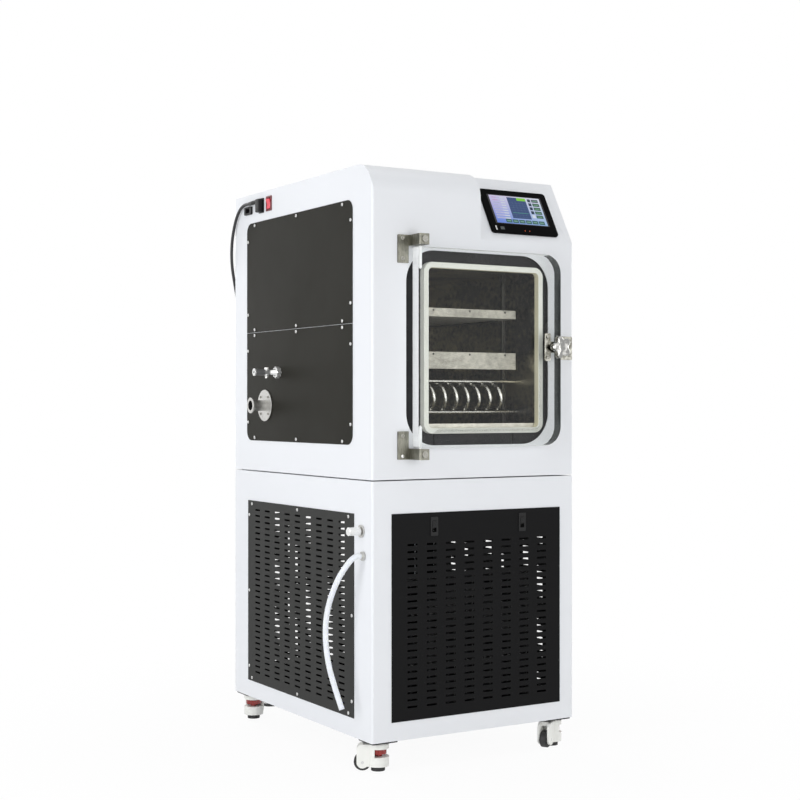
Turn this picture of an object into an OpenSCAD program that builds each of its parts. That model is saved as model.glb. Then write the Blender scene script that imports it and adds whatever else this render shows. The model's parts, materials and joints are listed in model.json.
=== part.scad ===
// Pilot freeze dryer: a drying chamber cabinet on a refrigeration cabinet, on levelling casters.
// Cabinet coordinates: x = 0 at the left side, y = 0 at the front, z = 0 on the floor.

/* [Cabinet] */
// Width of both cabinets
cab_w = 600; // [590:1:720]
// Depth of both cabinets
cab_d = 775; // [700:1:930]
// Height of the underside above the floor
underside_z = 74; // [74:1:90]
// Height of the refrigeration cabinet
lower_h = 624; // [560:1:700]
// Height of the chamber cabinet
upper_h = 760; // [730:1:860]
// Gap between the two cabinets
seam = 3; // [1:0.5:6]
// Thickness of the cabinet sheet
sheet = 2; // [1:0.5:3]
// Radius of the bent upright edges
edge_r = 6; // [4:1:12]
// Radius of the curved front edge of the top
top_r = 68; // [30:1:80]

/* [Console] */
// Distance of the console from the left side
console_x = 312; // [290:1:330]
// Drop of the sloped face below the top
slope_drop = 169; // [165:1:190]
// Run of the sloped face from the front
slope_run = 95; // [70:1:110]
// Width of the screen housing
screen_w = 206; // [180:1:210]
// Height of the screen housing
screen_h = 134; // [120:1:140]
// Width of the glass
glass_w = 168; // [140:1:170]
// Height of the glass
glass_h = 90; // [80:1:94]

/* [Chamber] */
// Width of the front opening
mouth_w = 425; // [405:1:428]
// Height of the front opening
mouth_h = 475; // [465:1:485]
// Corner radius of the front opening
mouth_r = 80; // [40:1:90]
// Outside width of the chamber
chamber_w = 347; // [330:1:350]
// Outside height of the chamber
chamber_h = 408; // [395:1:412]
// Length of the chamber
chamber_d = 620; // [610:1:640]
// Chamber wall
chamber_wall = 4; // [3:0.5:5]
// Outside corner radius of the chamber
chamber_r = 20; // [14:1:30]
// Thickness of the gasket's lips and web
gasket_t = 5; // [4:0.5:6]
// Depth of the gasket's lips
gasket_lip = 14; // [8:1:16]
// Gap between the door and the cabinet front
door_gap = 8; // [7:0.5:10]

/* [Door] */
// Width of the door
door_w = 427; // [420:1:432]
// Height of the door
door_h = 485; // [475:1:490]
// Thickness of the door
door_t = 26; // [20:1:28]
// Radius of the door's free corners
door_r = 50; // [20:1:60]
// Distance of the hinge pins from the door's edge
pin_inset = 14; // [12:1:15]
// Radius of the hinge pins
pin_r = 4; // [3:0.5:5]
// Radial clearance of turning pins
run_fit = 0.05; // [0.02:0.01:0.08]

/* [Shelves] */
// Gap between a shelf and the chamber's side wall
shelf_side = 27; // [24:1:40]
// Depth of a shelf
shelf_d = 480; // [400:1:490]
// Thickness of a shelf
shelf_t = 22; // [16:1:26]
// Height of the lower shelf's front apron
apron_h = 43; // [30:1:50]
// Pitch of the shelves
shelf_pitch = 109; // [95:1:112]

/* [Condenser coil] */
// Diameter of the coil's tube
tube_d = 10; // [8:1:12]
// Height of a turn at the middle of the tube
coil_h = 60; // [50:1:64]
// Depth of a turn at the middle of the tube
coil_depth = 440; // [300:1:450]
// Room kept at each side of the coil
coil_side = 26; // [24:1:33]
// Pitch of the turns
coil_pitch = 34; // [24:1:34]

/* [Ports] */
// Bore radius of the vacuum port
port_bore = 13; // [10:1:14]
// Outside radius of the vacuum tube
port_r = 14.5; // [14.5:0.5:16]
// Radius of the vacuum port's flange ring
port_ring = 21; // [18:1:24]
// Reach of the vacuum port from the side
port_reach = 46; // [36:1:60]
// Reach of the vent valve from the side
vent_reach = 75; // [66:1:80]
// Reach of the drain knob from the side
drain_reach = 38; // [32:1:46]
// Diameter of the drain hose
hose_d = 13.6; // [12:0.2:15]
// Diameter of the power cord
cord_d = 8.5; // [8:0.1:9]

/* [Casters] */
// Distance of the swivel axis from the cabinet's sides
caster_inset = 40; // [38:1:60]
// Radius of the wheel
wheel_r = 21; // [20:0.5:21.5]
// Width of the wheel
wheel_w = 19; // [16:1:20]
// Height of the wheel above the floor while the pads carry the load
wheel_lift = 0.5; // [0.4:0.1:1]
// Radius of the levelling pad
pad_r = 17; // [15:0.5:17]
// Radius of the thumbwheel
dial_r = 21; // [18:0.5:21]

/* [Hidden] */
$fn = 48;
// The cabinets
upper_z = underside_z + lower_h + seam;
top_z = upper_z + upper_h;
slope_z = top_z - slope_drop;
slope_angle = atan2(slope_drop, slope_run);
plate_t = 1.5;
overlap = 15;
fit_gap = 0.3;
// The front opening, the door and the chamber share one centre
mouth_x = 95;
mouth_z = upper_z + 81;
centre_z = mouth_z + mouth_h / 2;
door_x = mouth_x + 13;
door_z = centre_z - door_h / 2;
door_y = -door_gap - door_t;
pin_x = door_x + pin_inset;
pin_y = -door_gap - door_t / 2;
chamber_x = mouth_x + 51;
chamber_z = centre_z - chamber_h / 2;
chamber_y = gasket_t - door_gap;
chamber_end = chamber_y + chamber_d;
inner_x = chamber_x + chamber_wall;
inner_w = chamber_w - 2 * chamber_wall;
inner_z = chamber_z + chamber_wall;
inner_h = chamber_h - 2 * chamber_wall;
rail_y = 40;
jacket_y = 22;
jacket_end = 470;
// Shelves hang in a rack that stands on the chamber floor
shelf_w = inner_w - 2 * shelf_side;
shelf_x = inner_x + shelf_side;
shelf_y = 60;
lower_shelf_z = inner_z + 172;
upper_shelf_z = lower_shelf_z + shelf_pitch;
post = 10;
post_ys = [shelf_y + 60, shelf_y + shelf_d - 40];
ledge_t = 3;
// Condenser coil
coil_z = inner_z + 82;
coil_y = shelf_y + 10;
coil_x = inner_x + coil_side;
coil_turns = floor((inner_w - 2 * coil_side) / coil_pitch);
rod_r = 4;
// Hinge
arm_h = 26;
arm_gap = 2;
arm_w = 28;
arm_reach = 55;
pin_depth = 50;
hinge_w = 30;
hinge_t = 4;
hinge_drop = 42;
hinge_x = pin_x - 52;
// Clamp: the star knob's stud passes the lug and the door, and enters the bracket's boss
clamp_x = door_x + door_w - 13;
clamp_z = centre_z + 7;
stud_r = 5;
boss_r = 9;
boss_t = door_gap - 0.6;
bracket_x = clamp_x + 18;
bracket_t = 4;
ear_t = 4;
knob_reach = 28;
// Side covers and grilles
cover_y = 93;
cover_d = cab_d - 177;
cover_z = upper_z + 82;
cover_top = top_z - 80;
cover_split = upper_z + 378;
cover_r = 26;
grille_y = 86;
grille_d = cab_d - 177;
grille_z = underside_z + 46;
grille_h = lower_h - 127;
front_x = 54;
front_w = cab_w - 2 * 49;
front_z = underside_z + 45;
front_h = lower_h - 124;
bar_y = 32;
// Fittings on the left side
vent_y = 492;
vent_z = cover_z + 184;
port_y = 576;
port_z = cover_z + 96;
disc_r = 42.5;
disc_t = 2.5;
drain_y = 50;
drain_z = underside_z + lower_h - 121;
hose_y = 40;
hose_z = drain_z - 59;
rocker_y = cab_d - 221;
rocker_z = top_z - 37;
inlet_y = cab_d - 175;
inlet_z = top_z - 38;
outlet_y = cab_d - 96;
outlet_z = top_z - 44;
plug_out = 16;
// Front panel latches
latch_xs = [front_x + 120, front_x + 383];
latch_z = front_z + front_h - 34;
// Screws
head_r = 4.2;
head_h = 2.2;
// Refrigeration parts
floor_z = underside_z + sheet;
fan_z = floor_z + 190;
fan_y = 135;
fan_r = 150;
shaft_r = 4;
// Casters
wheel_off = wheel_r + pad_r - 0.5;
stem_r = 6;
axle_r = 4;
plate_half = 36;
caster_plate_t = 4;
collar_top = underside_z - caster_plate_t - fit_gap;
pad_h = 10;
foot_rise = 7;
skirt_z = 11.5;
dial_h = 12.5;
dial_z = 41;
CORNERS = ["front_left", "front_right", "rear_left", "rear_right"];
CORNER_X = [caster_inset, cab_w - caster_inset, caster_inset, cab_w - caster_inset];
CORNER_Y = [caster_inset, caster_inset, cab_d - caster_inset, cab_d - caster_inset];
CORNER_TURN = [149, -150, 50, 20];
// The hose and the cord were routed for these heights and this depth, and follow the real ones
routed_port = 518;
routed_top = 1461;
routed_depth = 775;
rise = top_z - routed_top;
back = cab_d - routed_depth;
// Route of the drain hose from its port to its cut end
HOSE_POINTS = [
    [-8, 40, 518], [-20, 40, 518], [-32, 42, 511], [-45, 47, 494], [-56, 58, 470], [-64, 71, 440],
    [-70, 83, 406], [-74, 91, 368], [-74, 95, 328], [-72, 93, 288], [-68, 87, 250], [-62, 78, 215],
    [-56, 67, 182], [-50, 57, 152],
];
HOSE_ROUTE = [for (p = HOSE_POINTS) [p[0], p[1], p[2] * hose_z / routed_port]];
// Route of the power cord from its plug to the coil behind the cabinet
CORD_POINTS = [
    [-9, 664, 1434.5], [-9, 684, 1434.5], [-9, 700, 1432.5], [-9, 715, 1427], [-9, 730, 1417],
    [-9, 743, 1404], [-9, 754, 1388], [-9, 763, 1370], [-9, 771, 1349], [-8, 778, 1323],
    [-5, 785, 1294], [0, 790, 1262], [8, 794, 1226], [17, 797, 1184], [25, 799, 1130],
    [31, 800, 1060], [36, 801, 970], [40, 801, 870], [40, 801, 760], [40, 801, 650],
    [40, 801, 540], [40, 801, 430], [40, 801, 330], [42, 802, 250], [46, 804, 190],
    [53, 808, 140], [62, 813, 100], [74, 821, 66], [90, 829, 38], [108, 836, 18],
    [128, 840, 8], [150, 842, 5], [172, 842, 4.5],
];
CORD_ROUTE = [for (p = CORD_POINTS) p + [0, back, p[2] > 600 ? rise : 0]];
cord_end = CORD_ROUTE[len(CORD_ROUTE) - 1];
// Route of the cord's last stretch from the coil to the mains plug
LEAD_ROUTE = [for (x = [238:18:310]) [x, cord_end[1], 13]];
COIL_AT = [205, cord_end[1] + 50];
coil_mean_r = 47;
coil_half = 9;
// The frame's origin stands under the middle of the object, whose turned casters reach past its sides
turned_x = wheel_off + wheel_r - 1 - caster_inset;
turned_y = wheel_off + wheel_r - 8.5 - caster_inset;
frame_x = (vent_reach - cab_w - turned_x) / 2;
frame_y = (knob_reach - door_y - cab_d - turned_y) / 2;

// ---------------------------------------------------------------- shared shapes

// A rectangle with rounded corners from its lower left corner
module rounded(x, y, w, h, r) {
    translate([x + r, y]) square([w - 2 * r, h]);
    translate([x, y + r]) square([w, h - 2 * r]);
    for (px = [x + r, x + w - r], py = [y + r, y + h - r]) translate([px, py]) circle(r);
}

// Slabs of an outline that lies in the x-z, y-z or x-y plane
module front_slab(y, t) {
    translate([0, y + t, 0]) rotate([90, 0, 0]) linear_extrude(t) children();
}

module side_slab(x, t) {
    translate([x, 0, 0]) rotate([90, 0, 90]) linear_extrude(t) children();
}

module flat_slab(z, t) {
    translate([0, 0, z]) linear_extrude(t) children();
}

// Round bars along the three axes, from their start point
module bar_x(at, r, l) {
    translate(at) rotate([0, 90, 0]) cylinder(r = r, h = l);
}

module bar_y(at, r, l) {
    translate(at) rotate([-90, 0, 0]) cylinder(r = r, h = l);
}

module bar_z(at, r, l) {
    translate(at) cylinder(r = r, h = l);
}

// A right-hand piece mirrored from the left-hand one
module other_side() {
    translate([cab_w, 0, 0]) mirror([1, 0, 0]) children();
}

// Pan head of a screw that points along +x, +y or -y
module pan_head() {
    cylinder(r = head_r, h = head_h * 0.5);
    translate([0, 0, head_h * 0.5]) cylinder(r1 = head_r, r2 = head_r * 0.6, h = head_h * 0.5);
}

module head_left(x, y, z) {
    translate([x, y, z]) rotate([0, -90, 0]) pan_head();
}

module head_front(x, y, z) {
    translate([x, y, z]) rotate([90, 0, 0]) pan_head();
}

module head_rear(x, y, z) {
    translate([x, y, z]) rotate([-90, 0, 0]) pan_head();
}

// Sweep of a round section along a route, with its side vector carried from ring to ring
function unit(v) = v / norm(v);
function along(p, i) = unit(p[min(i + 1, len(p) - 1)] - p[max(i - 1, 0)]);
function carried(u, t) = unit(u - t * (u * t));
function sides(p, u, i = 0) =
    i == len(p) ? [] : let(v = carried(u, along(p, i))) concat([v], sides(p, v, i + 1));
function ring(c, u, w, r, n) = [for (k = [0:n - 1]) c + r * (cos(360 * k / n) * u + sin(360 * k / n) * w)];
function tube_points(p, s, r, n) = [
    for (i = [0:len(p) - 1]) each ring(p[i], s[i], cross(along(p, i), s[i]), r, n)
];
function tube_faces(rings, n) = concat(
    [[for (k = [0:n - 1]) k]],
    [for (i = [0:rings - 2], k = [0:n - 1])
        [i * n + k, (i + 1) * n + k, (i + 1) * n + (k + 1) % n, i * n + (k + 1) % n]],
    [[for (k = [n - 1:-1:0]) (rings - 1) * n + k]]
);

module swept_tube(route, r, start_side, n = 8) {
    points = tube_points(route, sides(route, start_side), r, n);
    polyhedron(points, tube_faces(len(route), n), convexity = 8);
}

// ---------------------------------------------------------------- chamber cabinet

// Side outline of the cabinet left of the console, g inside the skin
module block_outline(g) {
    r = top_r - g;
    translate([g, upper_z + g]) square([cab_d - 2 * g, upper_h - 2 * g - r]);
    translate([g + r, upper_z + g]) square([cab_d - 2 * g - r, upper_h - 2 * g]);
    translate([g + r, top_z - g - r]) circle(r, $fn = 96);
}

// Side outline of the cabinet at the console, g inside the skin
module console_outline(g) {
    k = slope_drop / slope_run;
    shift = g * sqrt(1 + k * k);
    polygon([
        [g, upper_z + g],
        [cab_d - g, upper_z + g],
        [cab_d - g, top_z - g],
        [(slope_drop - g + shift) / k, top_z - g],
        [g, slope_z + g * k - shift],
    ]);
}

module cabinet_plan(g) {
    rounded(g, g, cab_w - 2 * g, cab_d - 2 * g, edge_r - g);
}

// The console's own frame: x along the cabinet, y up the slope, z out of it
module on_slope() {
    translate([0, 0, slope_z]) rotate([slope_angle, 0, 0]) children();
}

screen_x = console_x + (cab_w - console_x - screen_w) / 2;
screen_v = 22;

module side_windows() {
    y = cover_y + overlap;
    w = cover_d - 2 * overlap;
    rounded(y, cover_z + overlap, w, cover_split - cover_z - 2 * overlap, 8);
    rounded(y, cover_split + overlap, w, cover_top - cover_split - 2 * overlap, 8);
}

// The whole folded shell, which the three nodes below share between them
module upper_shell() {
    difference() {
        intersection() {
            union() {
                side_slab(0, console_x) block_outline(0);
                side_slab(console_x, cab_w - console_x) console_outline(0);
            }
            flat_slab(upper_z, upper_h) cabinet_plan(0);
        }
        intersection() {
            union() {
                side_slab(sheet, console_x - 2 * sheet) block_outline(sheet);
                side_slab(console_x - sheet, cab_w - console_x) console_outline(sheet);
            }
            flat_slab(upper_z + sheet, upper_h - 2 * sheet) cabinet_plan(sheet);
        }
        front_slab(-1, sheet + 2) rounded(mouth_x, mouth_z, mouth_w, mouth_h, mouth_r);
        for (x = [-1, cab_w - sheet - 1]) side_slab(x, sheet + 2) side_windows();
        front_slab(cab_d - sheet - 1, sheet + 2)
            rounded(rear_x + overlap, rear_z + overlap, rear_w - 2 * overlap, rear_h - 2 * overlap, 10);
        on_slope() translate([screen_x + 7, screen_v + 6, -10]) cube([screen_w - 14, screen_h - 12, 20]);
        side_slab(-1, sheet + 2) {
            translate([rocker_y - 13, rocker_z - 17]) square([26, 34]);
            translate([inlet_y - 11, inlet_z - 15]) square([22, 30]);
            translate([outlet_y - 15, outlet_z - 9]) square([30, 18]);
        }
    }
}

// Box between the bent side edges, from the given depth and height inwards
module between_sides(y, z, d, h) {
    translate([edge_r, y, z]) cube([cab_w - 2 * edge_r, d, h]);
}

module upper_sides() {
    color("white") intersection() {
        upper_shell();
        for (x = [0, cab_w - edge_r]) translate([x, 0, upper_z]) cube([edge_r, cab_d, upper_h]);
    }
}

module upper_front() {
    color("white") intersection() {
        upper_shell();
        between_sides(0, upper_z + sheet, cab_d - sheet, upper_h - sheet);
    }
}

module upper_base() {
    color("white") intersection() {
        upper_shell();
        union() {
            between_sides(0, upper_z, cab_d, sheet);
            between_sides(cab_d - sheet, upper_z, sheet, upper_h);
        }
    }
}

rear_x = 70;
rear_w = cab_w - 140;
rear_z = upper_z + 80;
rear_h = upper_h - 190;

// One side's pair of cover plates, which meet at the split
module cover_pair() {
    side_slab(-plate_t, plate_t) difference() {
        rounded(cover_y, cover_z, cover_d, cover_top - cover_z, cover_r);
        translate([cover_y - 1, cover_split - 0.5]) square([cover_d + 2, 1]);
        children();
    }
}

module covers() {
    color([0.25, 0.24, 0.22]) {
        cover_pair() {
            translate([port_y, port_z]) circle(port_r + fit_gap);
            translate([vent_y, vent_z]) circle(6 + fit_gap);
        }
        other_side() cover_pair();
        front_slab(cab_d, plate_t) rounded(rear_x, rear_z, rear_w, rear_h, 20);
    }
}

// ---------------------------------------------------------------- chamber

module chamber_outline(g) {
    rounded(chamber_x - g, chamber_z - g, chamber_w + 2 * g, chamber_h + 2 * g, chamber_r + g);
}

// Angle rail that carries the chamber on the cabinet floor
module rail(x) {
    translate([x, rail_y, upper_z + sheet]) {
        cube([3, chamber_end - rail_y, chamber_z - upper_z - sheet]);
        cube([30, chamber_end - rail_y, 3]);
    }
}

rail_xs = [chamber_x + 40, chamber_x + chamber_w - 70];

module chamber() {
    color("silver") {
        difference() {
            front_slab(chamber_y, chamber_d) chamber_outline(0);
            front_slab(chamber_y - 1, chamber_d - chamber_wall + 1) chamber_outline(-chamber_wall);
            bar_x([chamber_x - 1, port_y, port_z], port_r, chamber_wall + 2);
            bar_x([chamber_x - 1, vent_y, vent_z], 6, chamber_wall + 2);
        }
        for (x = rail_xs) rail(x);
    }
}

module chamber_jacket() {
    color([0.22, 0.22, 0.23]) difference() {
        front_slab(jacket_y, jacket_end - jacket_y)
            rounded(mouth_x - 8, mouth_z - 8, mouth_w + 16, mouth_h + 16, 20);
        front_slab(jacket_y - 1, jacket_end) chamber_outline(0);
        for (x = rail_xs) translate([x - 1, 0, mouth_z - 10]) cube([5, cab_d, chamber_z - mouth_z + 12]);
    }
}

module door_gasket() {
    color([0.92, 0.92, 0.86]) difference() {
        front_slab(-door_gap, gasket_t + gasket_lip) chamber_outline(gasket_t);
        front_slab(-door_gap - 1, gasket_t + gasket_lip + 2) chamber_outline(-chamber_wall - gasket_t);
        front_slab(chamber_y, gasket_lip + 1) difference() {
            chamber_outline(0);
            chamber_outline(-chamber_wall);
        }
    }
}

// ---------------------------------------------------------------- shelves and coil

module rack_side(x) {
    for (y = post_ys) translate([x, y, inner_z]) cube([post, post, inner_h]);
    for (z = [lower_shelf_z, upper_shelf_z])
        translate([x, post_ys[0], z - ledge_t]) cube([post + 14, post_ys[1] - post_ys[0] + post, ledge_t]);
}

module shelf_rack() {
    color("silver") {
        rack_side(shelf_x - post);
        translate([2 * shelf_x + shelf_w, 0, 0]) mirror([1, 0, 0]) rack_side(shelf_x - post);
        for (z = [inner_z + 12, inner_z + inner_h - 22])
            translate([shelf_x, post_ys[1], z]) cube([shelf_w, post, post]);
    }
}

// Two plates, the lower one with a tall front apron
module shelves() {
    color("silver") {
        for (z = [lower_shelf_z, upper_shelf_z])
            translate([shelf_x, shelf_y, z]) cube([shelf_w, shelf_d, shelf_t]);
        translate([shelf_x, shelf_y, lower_shelf_z + shelf_t - apron_h]) cube([shelf_w, 3, apron_h]);
    }
}

// One turn of the coil: round ends joined by straight runs, moving sideways as it goes
coil_steps = 8;
coil_r = coil_h / 2;
function coil_turn(x) = let(n = 2 * coil_steps + 2) [
    for (k = [0:n - 1])
        let(
            rear = k > coil_steps,
            a = rear ? -90 - 180 * (k - coil_steps - 1) / coil_steps : 90 + 180 * k / coil_steps,
            cy = rear ? coil_depth - coil_r : coil_r,
            y = coil_y + cy + (rear ? -1 : 1) * coil_r * cos(a),
            z = coil_z + coil_r * sin(a)
        ) [x + coil_pitch * k / n, y, z]
];
COIL_PATH = [for (i = [0:coil_turns - 1]) each coil_turn(coil_x + coil_pitch * i)];

module condenser_coil() {
    color([0.75, 0.74, 0.7]) swept_tube(COIL_PATH, tube_d / 2, [1, 0, 0]);
}

module coil_rods() {
    out = coil_r + tube_d / 2 + rod_r + fit_gap;
    color("silver")
        for (y = [coil_y + coil_r, coil_y + coil_depth - coil_r], z = [coil_z - out, coil_z + out])
            bar_x([inner_x, y, z], rod_r, inner_w);
}

// ---------------------------------------------------------------- door

module door_outline() {
    right = door_x + door_w;
    small = 6;
    translate([door_x + small, door_z]) square([door_w - small - door_r, door_h]);
    translate([door_x, door_z + small]) square([small, door_h - 2 * small]);
    translate([right - door_r, door_z + door_r]) square([door_r, door_h - 2 * door_r]);
    for (z = [door_z + small, door_z + door_h - small]) translate([door_x + small, z]) circle(small);
    for (z = [door_z + door_r, door_z + door_h - door_r]) translate([right - door_r, z]) circle(door_r);
}

// The hinge parts are drawn at the door's top edge and mirrored to its bottom edge
module both_ends() {
    children();
    translate([0, 0, 2 * centre_z]) mirror([0, 0, 1]) children();
}

module pin_bore(r, tip) {
    top = door_z + door_h;
    translate([pin_x, pin_y, top - pin_depth]) cylinder(r = r, h = pin_depth + 1);
    translate([pin_x, pin_y, top - pin_depth - tip]) cylinder(r1 = r / 4, r2 = r, h = tip);
}

module door_panel() {
    color([0.85, 0.9, 0.9, 0.4]) difference() {
        front_slab(door_y, door_t) door_outline();
        both_ends() pin_bore(pin_r + run_fit, 4);
        bar_y([clamp_x, door_y - 1, clamp_z], stud_r + 0.5, door_t + 2);
    }
}

// Hinge bracket: a plate on the cabinet's front and an arm that reaches forward past the pin
module hinge_arm() {
    z = door_z + door_h + arm_gap;
    flat_slab(z, arm_h) difference() {
        rounded(hinge_x + hinge_w, -arm_reach, arm_w, arm_reach, 3);
        translate([pin_x, pin_y]) circle(pin_r);
    }
    front_slab(-hinge_t, hinge_t) rounded(hinge_x, z - hinge_drop, hinge_w, arm_h + hinge_drop, 2);
    translate([hinge_x + hinge_w - 2, -hinge_t, z]) cube([4, hinge_t, arm_h]);
}

module hinge_brackets() {
    color([0.62, 0.62, 0.56]) both_ends() hinge_arm();
}

module hinge_pins() {
    top = door_z + door_h;
    color("silver") both_ends() {
        bar_z([pin_x, pin_y, top - pin_depth + 4], pin_r, pin_depth + arm_gap + arm_h - 4);
        bar_z([pin_x, pin_y, top + arm_gap + arm_h], pin_r + 2.5, 1.5);
    }
}

// Lug plate with the ear that carries the clamp's stud, and its two screws
module door_lug() {
    lug_x = clamp_x - 40;
    lug_w = 18;
    lug_h = 70;
    color([0.62, 0.62, 0.56]) {
        front_slab(door_y - ear_t, ear_t) difference() {
            union() {
                rounded(lug_x, clamp_z - lug_h / 2, lug_w, lug_h, 4);
                translate([lug_x + 4, clamp_z - 14]) square([clamp_x - lug_x - 4, 28]);
                translate([clamp_x, clamp_z]) circle(14);
            }
            translate([clamp_x, clamp_z]) circle(stud_r + run_fit);
        }
        for (s = [-1, 1]) head_front(lug_x + lug_w / 2, door_y - ear_t, clamp_z + s * 28);
    }
}

// Star knob: five lobes on a round core, a collar against the lug, and the clamp's stud
module star_knob() {
    y = door_y - ear_t - fit_gap;
    l = knob_reach - ear_t - fit_gap;
    collar = 6;
    lobe_at = 20.5;
    color("silver") {
        bar_y([clamp_x, y - collar, clamp_z], stud_r, collar - y - 1);
        bar_y([clamp_x, y - collar, clamp_z], boss_r, collar);
        front_slab(y - l + 2, l - collar - 2) {
            translate([clamp_x, clamp_z]) circle(19);
            for (a = [90:72:378])
                translate([clamp_x + lobe_at * cos(a), clamp_z + lobe_at * sin(a)]) circle(9.5);
        }
        bar_y([clamp_x, y - l, clamp_z], 12, 2);
    }
}

// Bracket on the cabinet's front, with an arm behind the door to the boss that takes the stud
module latch_bracket() {
    color([0.62, 0.62, 0.56]) difference() {
        union() {
            front_slab(-bracket_t, bracket_t) {
                rounded(bracket_x, clamp_z - 30, cab_w - edge_r - bracket_x, 60, 3);
                translate([clamp_x, clamp_z - 12]) square([bracket_x - clamp_x + 5, 24]);
            }
            bar_y([clamp_x, -boss_t, clamp_z], boss_r, boss_t);
        }
        bar_y([clamp_x, -boss_t - 1, clamp_z], stud_r + 0.5, boss_t + 2);
    }
}

// ---------------------------------------------------------------- console parts

module screen_housing() {
    deep = 30;
    color([0.07, 0.07, 0.08]) on_slope() difference() {
        union() {
            translate([0, 0, 0]) linear_extrude(7) rounded(screen_x, screen_v, screen_w, screen_h, 8);
            translate([screen_x + 8, screen_v + 7, -deep]) cube([screen_w - 16, screen_h - 14, deep]);
        }
        translate([glass_x, glass_v, 4.5]) cube([glass_w, glass_h, 5]);
    }
}

glass_x = screen_x + (screen_w - glass_w) / 2;
glass_v = screen_v + screen_h - glass_h - 16;

module screen_glass() {
    color([0.1, 0.14, 0.2]) on_slope() translate([glass_x, glass_v, 4.5]) cube([glass_w, glass_h, 2]);
}

rocker_w = 20;
rocker_pivot = 3;
rocker_tilt = 8;

module switch_frame() {
    half = rocker_w / 2 + fit_gap;
    color([0.3, 0.05, 0.06]) difference() {
        union() {
            side_slab(-2.5, 2.5) rounded(rocker_y - 16, rocker_z - 20, 32, 40, 2);
            side_slab(0, 14) translate([rocker_y - 13, rocker_z - 17]) square([26, 34]);
        }
        side_slab(-3, 15) translate([rocker_y - half, rocker_z - 15.6]) square([2 * half, 31.2]);
        bar_y([rocker_pivot, rocker_y - half - 2, rocker_z], 2 + run_fit, 2 * half + 4);
    }
}

module rocker() {
    color([0.88, 0.27, 0.33]) {
        translate([rocker_pivot, rocker_y + rocker_w / 2, rocker_z])
            rotate([0, -rocker_tilt, 0]) rotate([90, 0, 0]) linear_extrude(rocker_w)
                polygon([[-8.5, 13.5], [-5.5, 0], [-8.5, -13.5], [3, -11], [6, 0], [3, 11]]);
        bar_y([rocker_pivot, rocker_y - rocker_w / 2 - 1.8, rocker_z], 2, rocker_w + 3.6);
    }
}

// Inlet that the cord's plug fills, and a spare socket behind it
module power_sockets() {
    color([0.05, 0.05, 0.05]) {
        side_slab(-3, 3) rounded(inlet_y - 15, inlet_z - 20, 30, 40, 3);
        side_slab(0, 20) translate([inlet_y - 11, inlet_z - 15]) square([22, 30]);
        difference() {
            union() {
                side_slab(-6, 6) rounded(outlet_y - 22, outlet_z - 11, 44, 22, 4);
                side_slab(0, 20) translate([outlet_y - 15, outlet_z - 9]) square([30, 18]);
            }
            side_slab(-7, 22) rounded(outlet_y - 12, outlet_z - 6, 24, 12, 3);
        }
    }
}

// ---------------------------------------------------------------- side fittings

module vacuum_port() {
    inner = chamber_x + chamber_wall;
    color([0.7, 0.7, 0.68]) difference() {
        union() {
            bar_x([-port_reach, port_y, port_z], port_r, port_reach + inner);
            bar_x([-port_reach, port_y, port_z], port_ring, 3.5);
            translate([3.5 - port_reach, port_y, port_z]) rotate([0, 90, 0])
                cylinder(r1 = port_ring, r2 = port_r, h = 1.5);
            bar_x([-plate_t - disc_t, port_y, port_z], disc_r, disc_t);
        }
        bar_x([-port_reach - 1, port_y, port_z], port_bore, port_reach + inner + 2);
    }
}

key_x = -38;

// Vent valve: scalloped nut, cone, plug barrel, and a dark sleeve that ends in a ring
module vent_valve() {
    color([0.8, 0.8, 0.78]) difference() {
        union() {
            side_slab(-13, 13 - plate_t) {
                translate([vent_y, vent_z]) circle(12.5);
                for (a = [0:45:315]) translate([vent_y + 12 * cos(a), vent_z + 12 * sin(a)]) circle(3.5);
            }
            translate([-30, vent_y, vent_z]) rotate([0, 90, 0]) cylinder(r1 = 5, r2 = 10, h = 17);
            bar_x([-46, vent_y, vent_z], 7, 16);
            bar_x([4 - vent_reach, vent_y, vent_z], 8.5, vent_reach - 50);
            bar_x([-vent_reach, vent_y, vent_z], 10, 4);
            bar_z([key_x, vent_y, vent_z - 8], 5.5, 16);
            bar_x([-13, vent_y, vent_z], 6, inner_x + 13);
        }
        bar_x([-vent_reach - 1, vent_y, vent_z], 3, vent_reach - 20 + 1 + key_x / 2);
        bar_z([key_x, vent_y, vent_z - 9], 3 + run_fit, 18);
    }
}

module vent_key() {
    color("silver") {
        bar_z([key_x, vent_y, vent_z - 12], 3, 23);
        bar_z([key_x, vent_y, vent_z + 8 + fit_gap], 5, 4);
        bar_z([key_x, vent_y, vent_z - 16], 4, 8 - fit_gap);
        bar_y([key_x, vent_y - 12, vent_z + 10 + fit_gap], 1.8, 24);
    }
}

module drain_valve() {
    color([0.7, 0.7, 0.68]) {
        bar_x([-4, drain_y, drain_z], 15.4, 4);
        bar_x([-7, drain_y, drain_z], 7, 3);
        bar_x([-24, drain_y, drain_z], shaft_r, 20);
        bar_x([0, drain_y, drain_z], 8, 24);
        bar_x([-6, hose_y, hose_z], 11, 6);
        bar_x([-8, hose_y, hose_z], 8.5, 2);
        bar_x([0, hose_y, hose_z], 7, 24);
    }
}

module drain_knob() {
    start = 7 + fit_gap;
    l = drain_reach - start;
    color([0.7, 0.7, 0.66]) translate([-drain_reach, drain_y, drain_z]) rotate([0, 90, 0]) difference() {
        union() {
            cylinder(r1 = 8.8, r2 = 10.3, h = 1.5);
            translate([0, 0, 1.5]) cylinder(r = 10.3, h = l - 1.5);
        }
        for (a = [0:30:330]) rotate([0, 0, a]) translate([10.8, 0, 4]) cylinder(r = 1.2, h = l - 8);
        translate([0, 0, drain_reach - 24 - fit_gap]) cylinder(r = shaft_r + run_fit, h = l);
    }
}

module drain_hose() {
    color([0.9, 0.93, 0.95]) swept_tube(HOSE_ROUTE, hose_d / 2, [0, 1, 0], 10);
}

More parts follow.
